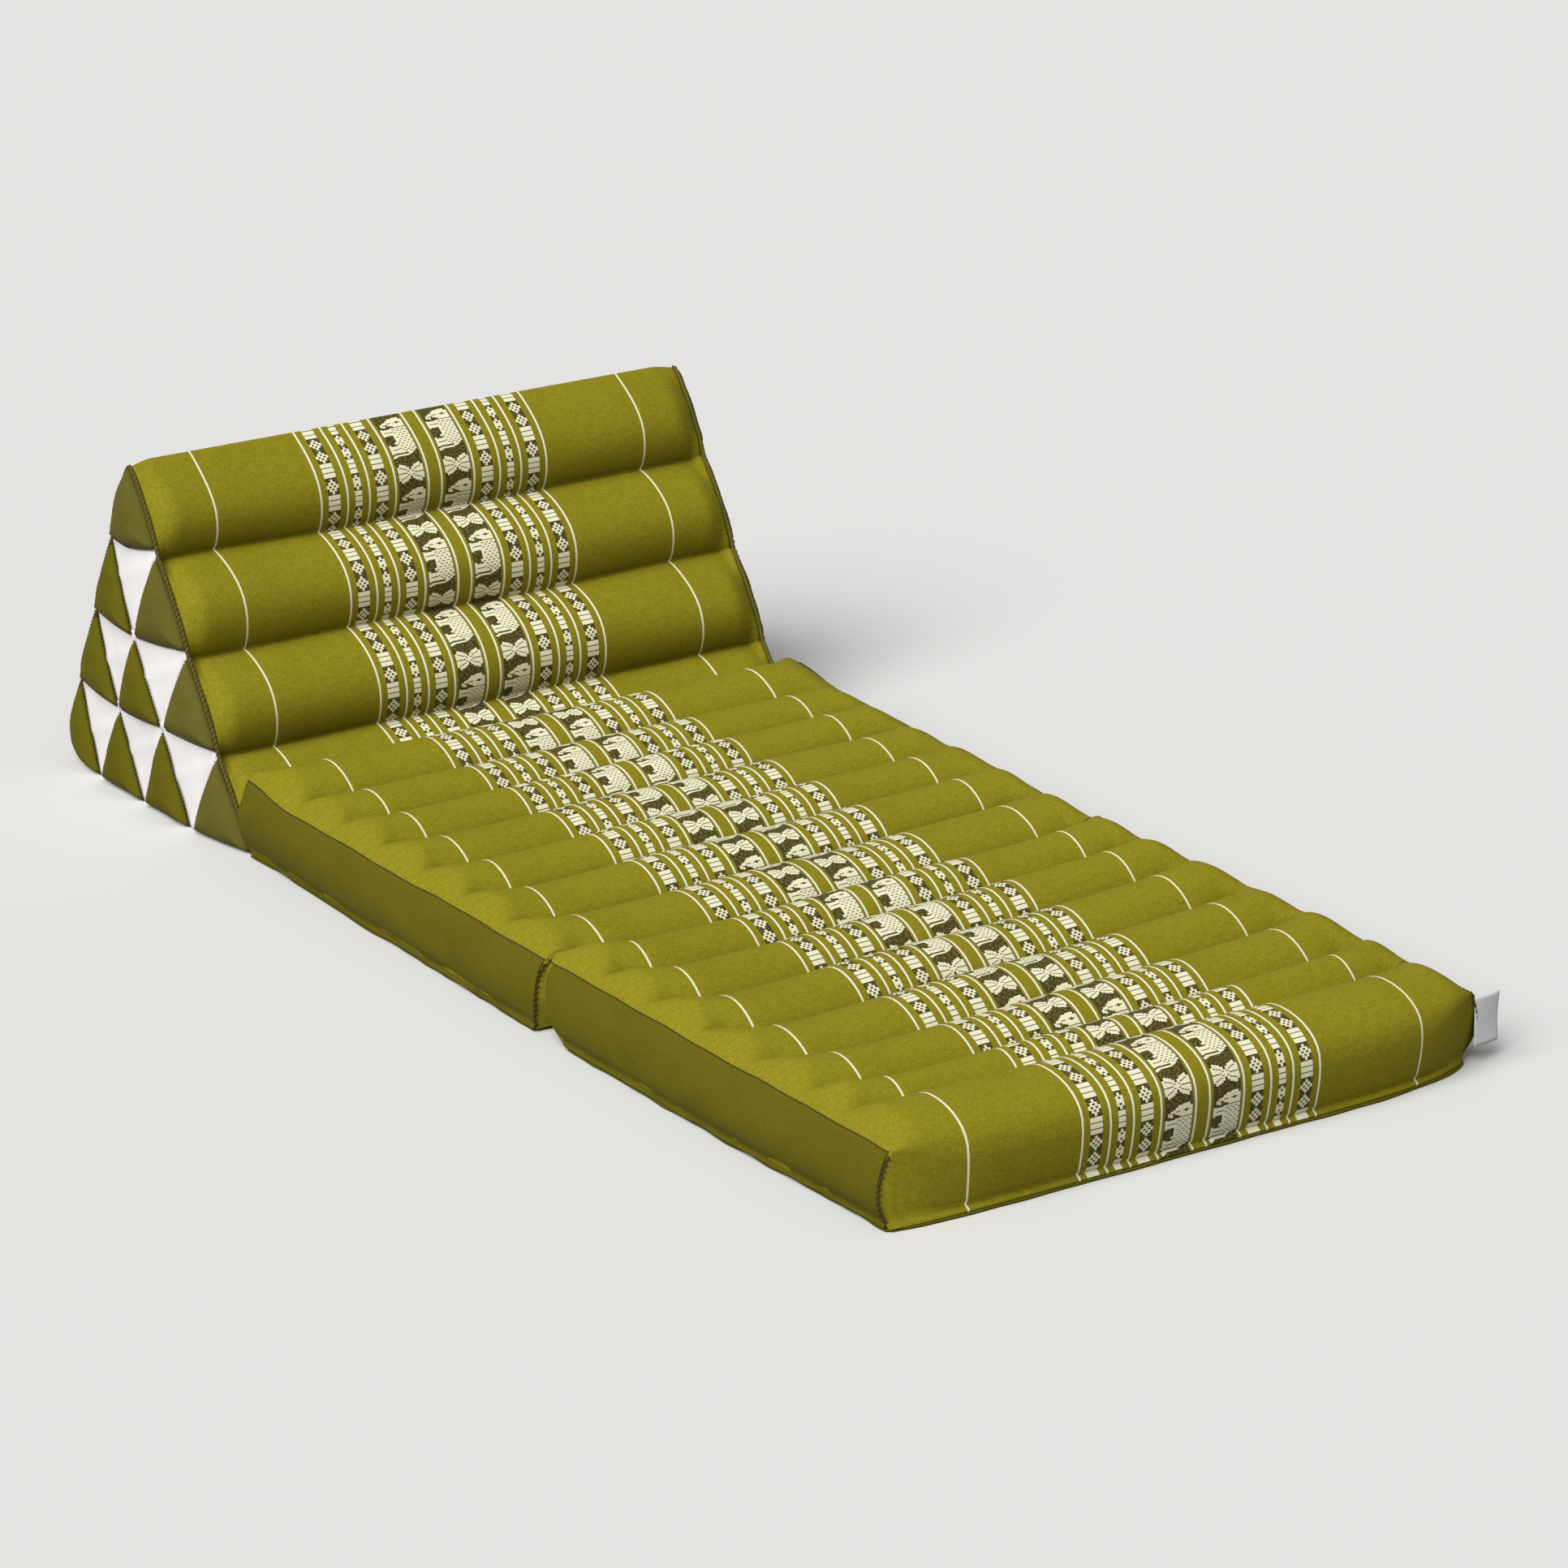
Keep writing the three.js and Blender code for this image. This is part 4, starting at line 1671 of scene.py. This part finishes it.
# The painted shade in the channel seams: how it fades out along the cloth, and towards the side.
MAT_SHADE_ARCH = 0.8
MAT_SHADE_POWER = 1.4
MAT_SHADE_INSET = (0.006, 0.03)


class CUSHION_OT_mat_covers(bpy.types.Operator):
    """Builds the channelled covers of the two mats"""

    bl_idname = "cushion.mat_covers"
    bl_label = "Mat covers"

    def execute(self, context):
        sizes = context.scene.mat_sizes
        for mat in mats(context):
            bm = cells((MAT_ACROSS, sizes.rolls * MAT_ROLL_CELLS, MAT_LEVELS))
            self.map_cloth(bm, mat)
            reshape(bm, lambda x, y, z, mat=mat: self.place(mat, x, y, z))
            node = f"{mat.name}_cushion"
            piece = make_piece(f"{mat.name}_cover", bm, cover_material(context), node)
        return {"FINISHED"}

    def place(self, mat, x, y, z):
        share = (1 - y) / 2
        up = eased((z + 1) / 2)
        across = across_at(mat.sizes, x)
        back, foot = mat.ends(up, across)
        if y <= TINY - 1 and mat.foot_bow:
            height = lerp(LOW_CLOTH, mat.foot_edge_height(across, mat.seam_height(1.0)), up)
            notch = NOTCH_DEPTH * bell(height - NOTCH_HEIGHT, NOTCH_WIDTH)
            along = foot + notch - LIP_OUT * (1 - smooth(height, LIP_HEIGHT, NOTCH_HEIGHT))
        else:
            top, y_top = mat.top(across, share)
            back_top, foot_top = mat.ends(1.0, across)
            height = lerp(LOW_CLOTH, top, up)
            along = lerp(back, foot, (y_top - back_top) / (foot_top - back_top))
        filled = mat.spread(across, share)
        if abs(x) > 1 - TINY:
            filled = math.copysign(mat.side_x(up, share, side_of(x)), x)
        return filled, along + mat.skew(filled, share), height

    def map_cloth(self, bm, mat):
        rolls = mat.sizes.rolls
        bm.normal_update()

        def cloth_uv(face, point):
            share = (1 - point.y) / 2
            across = mat.pattern_at(across_at(mat.sizes, point.x), share)
            wall = mat.wall_run(eased((point.z + 1) / 2))
            if face.normal.y > SQUARE:
                return across, mat.phases[0] - at_share(mat.run, 1 / rolls) - wall
            bottom = mat.wall_run(0.0) if mat.foot_bow else 0.0
            if face.normal.y < -SQUARE:
                return across, mat.phases[-1] + wall - bottom
            roll = min(rolls - 1, int((1 - face.calc_center_median().y) / 2 * rolls))
            to_end = at_share(mat.run, (roll + 1) / rolls) - at_share(mat.run, share)
            return across, mat.phases[roll] - to_end - (bottom if mat.is_foot_roll(roll) else 0.0)

        def bake_uv(face, point):
            middle = face.calc_center_median()
            share = (1 - point.y) / 2
            up = (point.z + 1) / 2
            if abs(face.normal.x) > SQUARE:
                return hidden_place(middle.x > 0, up, share)
            if face.normal.z < -SQUARE:
                return hidden_place(2, (point.x + 1) / 2, share)
            run = lerp(*TOP_RUN, share)
            if face.normal.y > SQUARE:
                run = TOP_RUN[0] * up
            elif face.normal.y < -SQUARE:
                run = lerp(1.0, TOP_RUN[1], up)
            second = lerp(*TOP_RUN, (1 - middle.y) / 2) > 0.5
            across, here = across_at(mat.sizes, middle.x), across_at(mat.sizes, point.x)
            return strip_place(mat.sizes, across, here, second, run * 2 - second, lerp(*MAT_SIDE_RUN, run))

        # Painted shade on the tops: darker towards both seams of a channel, and fading out towards the side
        # seams.
        def painted_shade_uv(face, point):
            roll, inside = roll_of((1 - point.y) / 2, rolls)
            rounds_over = mat.is_foot_roll(roll) and inside > 0.5
            if abs(face.normal.z) < SQUARE or rounds_over:
                return 0.0, 0.0
            inset = mat.sizes.half_width - abs(across_at(mat.sizes, point.x))
            depth = (1 - arc(inside) ** MAT_SHADE_ARCH) ** MAT_SHADE_POWER
            return depth * smooth(inset, *MAT_SHADE_INSET), 0.0

        add_uv(bm, "cloth", cloth_uv)
        add_uv(bm, "crease", painted_shade_uv)
        add_uv(bm, "OFBake", bake_uv)


BOXING_CELLS = (1, 168, 18)
# The boxing lies just outside the cover, with its lower edge turned out and a tuck above it.
BOXING_OUT = 0.0006
BOXING_FLOOR = 0.001
TOP_CURL = 0.0012
TOP_CURL_START = 0.95
HEM_FLARE = 0.0004
HEM_FLARE_WAVE = 0.0014
HEM_ZONE = (0.0028, 0.0065)
HEM_WAVE = Ripple(0.5, 14, 1, 11)
HEM_TUCK = 0.0022
HEM_TUCK_HEIGHT = 0.0075
HEM_TUCK_WIDTH = 0.002
# The stitches along the top seam, and the thread under them.
TOP_SEAM_STEPS = 240
TOP_SEAM_OUT = 0.0006
TOP_SEAM_UP = 0.0002
TOP_SEAM_RADIUS = 0.0004
TOP_STITCH_PITCH = 0.004
TOP_STITCH_RISE = 0.5
TOP_STITCH_TILT = 0.6
TOP_STITCH_SIZE = (0.0028, 0.00035)


class CUSHION_OT_boxing(bpy.types.Operator):
    """Builds the side boxing of the mats, with its sewn top edge"""

    bl_idname = "cushion.boxing"
    bl_label = "Side boxing"

    def execute(self, context):
        for mat in mats(context):
            for side in SIDES:
                node = f"{mat.name}_side_{side}"
                bm = cells(BOXING_CELLS)
                reshape(bm, lambda x, y, z, m=mat, s=side: self.place(m, s, x, y, z))
                piece = make_piece(f"{mat.name}_boxing_{side}", bm, boxing_material(context), node)
                bm = bmesh.new()
                self.sew(bm, mat, side)
                make_piece(f"{mat.name}_top_seam_{side}", bm, thread_material(context), node)
        return {"FINISHED"}

    def place(self, mat, side, x, y, z):
        direction = SIDES[side]
        share = (1 - y) / 2
        up = eased((z + 1) / 2)
        height = lerp(LOW_CLOTH + BOXING_FLOOR, mat.seam_height(share), up)
        outwards = BOXING_OUT + (x + 1) / 2 * mat.sizes.cloth - TOP_CURL * smooth(up, TOP_CURL_START, 1.0)
        wave = 0.5 + HEM_WAVE.at(share, 0, direction + mat.back)
        outwards += (HEM_FLARE + HEM_FLARE_WAVE * wave) * (1 - smooth(height, *HEM_ZONE))
        outwards -= HEM_TUCK * bell(height - HEM_TUCK_HEIGHT, HEM_TUCK_WIDTH)
        filled = direction * (mat.side_x(up, share, side) + outwards)
        along = lerp(*mat.ends(up, direction * mat.sizes.half_width), share)
        return filled, along + mat.skew(filled, share), height

    def sew(self, bm, mat, side):
        """Adds the stitches of the top seam, and the thread under them."""
        direction = SIDES[side]

        def seam(share):
            out = direction * (mat.edge(side, share) + TOP_SEAM_OUT)
            y = lerp(*mat.ends(1.0, direction * mat.sizes.half_width), share) + mat.skew(out, share)
            return local(out, y, mat.seam_height(share) + TOP_SEAM_UP)

        line = path(seam, TOP_SEAM_STEPS)
        tube(bm, line, TOP_SEAM_RADIUS, 1)
        lift = Vector((direction * TOP_SEAM_RADIUS, 0, TOP_SEAM_UP))
        outward = Vector((direction, 0, TOP_STITCH_TILT))
        for point, along in spaced(line, TOP_STITCH_PITCH):
            lean = (along + Vector((0, 0, TOP_STITCH_RISE))).normalized()
            stitch(bm, point + lift, lean, outward, *TOP_STITCH_SIZE)


BASE_CELLS = (90, 140, 1)
BASE_THICKNESS = 0.0014
# The base's seam allowance: its waves along the sides and the foot, and how far it reaches out at the foot.
BASE_WAVE = Ripple(0.0018, 16, 1, 21)
FOOT_WAVE = Ripple(0.001, 30, 1, 23)
BASE_REACH = 0.0045
BASE_CORNER = 0.004


class CUSHION_OT_bases(bpy.types.Operator):
    """Builds the base cloths, whose seam allowance stands out round the mats"""

    bl_idname = "cushion.bases"
    bl_label = "Bases"

    def execute(self, context):
        for mat in mats(context):
            bm = cells(BASE_CELLS)
            reshape(bm, lambda x, y, z, m=mat: self.place(m, x, y, z))
            piece = make_piece(
                f"{mat.name}_base_cloth", bm, boxing_material(context), f"{mat.name}_base"
            )
        return {"FINISHED"}

    def place(self, mat, x, y, z):
        share = (1 - y) / 2
        wave = BASE_WAVE.at(share, 0, mat.back) * abs(x) ** 8
        across = x * (mat.side_x(0.0, share, side_of(x)) + mat.sizes.lip + wave)
        back, foot = mat.ends(0.0, math.copysign(min(abs(across), MAT_HALF), across))
        along = lerp(back, foot, share) + BASE_CORNER * (abs(x) * share) ** 30
        if mat.foot_bow:
            along += FOOT_WAVE.at(across) * share ** 12 - BASE_REACH * share
        return across, along + mat.skew(across, share), 0.0 if z < 0 else BASE_THICKNESS


STRIP_CELLS = (90, 4, 1)
FLOOR_STRIP_CELLS = (40, 2, 1)
# The strips end this far inside the side seams.
STRIP_INSET = 0.001
STRIP_DEPTH = 0.001
STRIP_HALF = 0.0005
STRIP_SAG = 0.0008
STRIP_RUN = 0.002
STRIP_GAP = 0.0002
FLOOR_STRIP = (0.0004, 0.0014)


class CUSHION_OT_hinges(bpy.types.Operator):
    """Builds the strips that join the parts"""

    bl_idname = "cushion.hinges"
    bl_label = "Hinges"

    def execute(self, context):
        sizes = context.scene.mat_sizes
        half = sizes.half_width - STRIP_INSET
        first, second = mats(context)
        bm = cells(STRIP_CELLS)
        _, rear = first.ends(1.0, 0.0)
        front, _ = second.ends(1.0, 0.0)
        add_uv(bm, "cloth", lambda face, point: (
            first.pattern_at(half * point.x, 1.0), first.phases[-1] + (1 - point.y) * STRIP_RUN
        ))
        # The whole strip takes the full painted shade of a channel seam, down in the joint between the mats.
        add_uv(bm, "crease", lambda face, point: (1.0, 0.0))

        def place(x, y, z):
            height = second.top(half * x, 0.0)[0] - STRIP_DEPTH - STRIP_SAG * (1 - y * y) + z * STRIP_HALF
            along = lerp(front + STRIP_GAP, rear - STRIP_GAP, (y + 1) / 2)
            return half * x, along + first.skew(half * x, 1.0), height

        reshape(bm, place)
        strip = make_piece("mat_hinge_strip", bm, cover_material(context), "hinge_mats")

        low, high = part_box("hinge_wedge_mat")
        bm = cells(FLOOR_STRIP_CELLS)
        reshape(bm, lambda x, y, z: (
            x * half, lerp(low.y, high.y, (y + 1) / 2) - FRONT_Y, lerp(*FLOOR_STRIP, (z + 1) / 2)
        ))
        strip = make_piece("backrest_hinge_strip", bm, boxing_material(context), "hinge_wedge_mat")
        return {"FINISHED"}


CORNER_STITCHES = Stitching(pitch=0.0042, reach=0.0058, thickness=0.0007, slant=0.8, lift=0.0006)
CORNER_STEPS = 24
CORNER_RADIUS = 0.0008
CORNER_OUT = 0.0004
# How far the corner seams end above the base and below the top.
CORNER_ENDS = (0.002, 0.003)


class CUSHION_OT_corner_stitches(bpy.types.Operator):
    """Sews the upright corner seams of the mats"""

    bl_idname = "cushion.corner_stitches"
    bl_label = "Corner stitches"

    def execute(self, context):
        for mat in mats(context):
            bm = bmesh.new()
            for side, direction in SIDES.items():
                line = path(lambda up, m=mat, s=side: self.place(m, s, up), CORNER_STEPS)
                tube(bm, line, CORNER_RADIUS, 1)
                outward = Vector((direction, -1, 0)).normalized()
                CORNER_STITCHES.sew(bm, line, lambda point, out=outward: out)
            name = f"{mat.name}_corner_stitches"
            make_piece(name, bm, thread_material(context), f"{mat.name}_side_near")
        return {"FINISHED"}

    def place(self, mat, side, up):
        _, foot = mat.ends(up, SIDES[side] * mat.sizes.half_width)
        height = lerp(LOW_CLOTH + CORNER_ENDS[0], mat.seam_height(1.0) - CORNER_ENDS[1], up)
        x = SIDES[side] * (mat.side_x(up, 1.0, side) + CORNER_OUT)
        return local(x, foot + mat.skew(x, 1.0), height)


# The label sits this much further in than its solid, where the corner is pulled in.
LABEL_SHIFT = 0.009
LABEL_CELLS = (12, 1, 14)
LABEL_BACK = 0.0006
LABEL_HALF = 0.00025
# The label curls back towards its free end, and a little more in one part of its height.
LABEL_CURL = 0.003
LABEL_TWIST = 0.0012
LABEL_TWIST_SPAN = 1.3


class CUSHION_OT_label(bpy.types.Operator):
    """Builds the blank ribbon label in the far foot corner"""

    bl_idname = "cushion.label"
    bl_label = "Label"

    def execute(self, context):
        low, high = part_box("label")
        bm = cells(LABEL_CELLS)

        def place(x, y, z):
            out = (x + 1) / 2
            up = (z + 1) / 2
            curl = LABEL_CURL * out * out + LABEL_TWIST * arc(up * LABEL_TWIST_SPAN) * out
            along = low.y + LABEL_BACK + curl + y * LABEL_HALF - FRONT_Y
            return lerp(low.x, high.x, out) - MIDDLE_X - LABEL_SHIFT, along, lerp(low.z, high.z, up)

        reshape(bm, place)
        made = material("satin_ribbon", lambda: satin(context.scene.mat_colours))
        piece = make_piece("blank_label", bm, made, "label")
        return {"FINISHED"}


# ---------- stage ----------

# The floor lights the cushions less than it shows.
FLOOR_BOUNCE = 0.35
FLOOR_SIZE = 60
# The floor lies a hair under the cushions, so that the two don't share a plane.
FLOOR_LEVEL = -0.0005
WORLD_STRENGTH = 0.25
KEY_STRENGTH = 3.2
KEY_SPREAD = math.radians(50)
KEY_TILT = math.radians(43)
KEY_AZIMUTH = math.radians(-67)
LENS = 136.5
SENSOR = 36.0
CLIP_END = 200
# The camera's place from the near end of the backrest's front edge on the floor, in metres, and its turn.
CAMERA_PLACE = Vector((-1.9589, -3.9089, 1.5355))
CAMERA_YAW = math.radians(32.11)
CAMERA_PITCH = math.radians(18.87)
CAMERA_ROLL = math.radians(-1.278)


class CUSHION_OT_stage(bpy.types.Operator):
    """Sets the floor, the light and the camera"""

    bl_idname = "cushion.stage"
    bl_label = "Stage"

    def execute(self, context):
        scene = context.scene
        scene.view_settings.view_transform = "Standard"
        self.floor(context)
        self.world(context)
        self.lamp(context)
        self.camera(context)
        return {"FINISHED"}

    def floor(self, context):
        graph = Graph(bpy.data.materials.new("studio_floor"))
        rgb = context.scene.mat_colours.floor
        colour = graph.blend(tinted(rgb, FLOOR_BOUNCE), opaque(rgb), graph.seen())
        base = graph.node("ShaderNodeBsdfDiffuse", Color=colour)
        graph.node("ShaderNodeOutputMaterial", Surface=graph.output(base, "BSDF"))
        bm = bmesh.new()
        bmesh.ops.create_grid(bm, x_segments=1, y_segments=1, size=FLOOR_SIZE)
        mesh = bpy.data.meshes.new("studio_floor")
        bm.to_mesh(mesh)
        bm.free()
        mesh.materials.append(graph.owner)
        floor = bpy.data.objects.new("studio_floor", mesh)
        floor.location = (0, 0, FLOOR_LEVEL)
        context.scene.collection.objects.link(floor)

    def world(self, context):
        graph = Graph(bpy.data.worlds.new("studio"))
        soft = graph.node("ShaderNodeBackground", Strength=WORLD_STRENGTH)
        backdrop = graph.node("ShaderNodeBackground", Color=opaque(linear(243, 243, 243)))
        choose = graph.node("ShaderNodeMixShader")
        shaders = [graph.output(made, "Background") for made in (soft, backdrop)]
        for socket, value in zip(choose.inputs, (graph.seen(), *shaders)):
            graph.feed(socket, value)
        graph.node("ShaderNodeOutputWorld", Surface=graph.output(choose, "Shader"))
        context.scene.world = graph.owner

    def lamp(self, context):
        light = bpy.data.lights.new("key", "SUN")
        light.energy = KEY_STRENGTH
        light.angle = KEY_SPREAD
        lamp = bpy.data.objects.new("key", light)
        lamp.rotation_euler = (KEY_TILT, 0, KEY_AZIMUTH)
        context.scene.collection.objects.link(lamp)

    def camera(self, context):
        data = bpy.data.cameras.new("camera")
        data.lens = LENS
        data.sensor_width = SENSOR
        data.clip_end = CLIP_END
        camera = bpy.data.objects.new("camera", data)
        forward = Vector((
            math.sin(CAMERA_YAW) * math.cos(CAMERA_PITCH),
            math.cos(CAMERA_YAW) * math.cos(CAMERA_PITCH),
            -math.sin(CAMERA_PITCH),
        ))
        level_right = Vector((math.cos(CAMERA_YAW), -math.sin(CAMERA_YAW), 0))
        level_up = level_right.cross(forward)
        right = level_right * math.cos(CAMERA_ROLL) + level_up * math.sin(CAMERA_ROLL)
        up = level_up * math.cos(CAMERA_ROLL) - level_right * math.sin(CAMERA_ROLL)
        turn = Matrix((right, up, -forward)).transposed().to_4x4()
        near_corner = Vector((MIDDLE_X - MAT_HALF, FRONT_Y, 0))
        camera.matrix_world = Matrix.Translation(near_corner + CAMERA_PLACE) @ turn
        context.scene.collection.objects.link(camera)
        context.scene.camera = camera


# ---------- panel and registration ----------

OPERATORS = (
    CUSHION_OT_stage,
    CUSHION_OT_backrest_cover,
    CUSHION_OT_patchwork,
    CUSHION_OT_backrest_stitches,
    CUSHION_OT_mat_covers,
    CUSHION_OT_boxing,
    CUSHION_OT_bases,
    CUSHION_OT_hinges,
    CUSHION_OT_corner_stitches,
    CUSHION_OT_label,
)

GROUPS = (
    ("mat_backrest", BackrestSizes),
    ("mat_sizes", MatSizes),
    ("mat_weave", Weave),
    ("mat_colours", Colours),
)


class CUSHION_PT_build(bpy.types.Panel):
    """Lists the steps that build the cushion mat"""

    bl_idname = "CUSHION_PT_build"
    bl_label = "Cushion mat"
    bl_space_type = "VIEW_3D"
    bl_region_type = "UI"
    bl_category = "Cushion mat"

    def draw(self, context):
        for group, _ in GROUPS:
            box = self.layout.box()
            values = getattr(context.scene, group)
            for name in values.__annotations__:
                box.prop(values, name)
        for operator in OPERATORS:
            self.layout.operator(operator.bl_idname)


def register():
    for name, group in GROUPS:
        bpy.utils.register_class(group)
        setattr(bpy.types.Scene, name, PointerProperty(type=group))
    for operator in OPERATORS:
        bpy.utils.register_class(operator)
    bpy.utils.register_class(CUSHION_PT_build)


def unregister():
    bpy.utils.unregister_class(CUSHION_PT_build)
    for operator in reversed(OPERATORS):
        bpy.utils.unregister_class(operator)
    for name, group in reversed(GROUPS):
        delattr(bpy.types.Scene, name)
        bpy.utils.unregister_class(group)


def main():
    register()
    for operator in OPERATORS:
        group, name = operator.bl_idname.split(".")
        getattr(getattr(bpy.ops, group), name)()


if __name__ == "__main__":
    main()
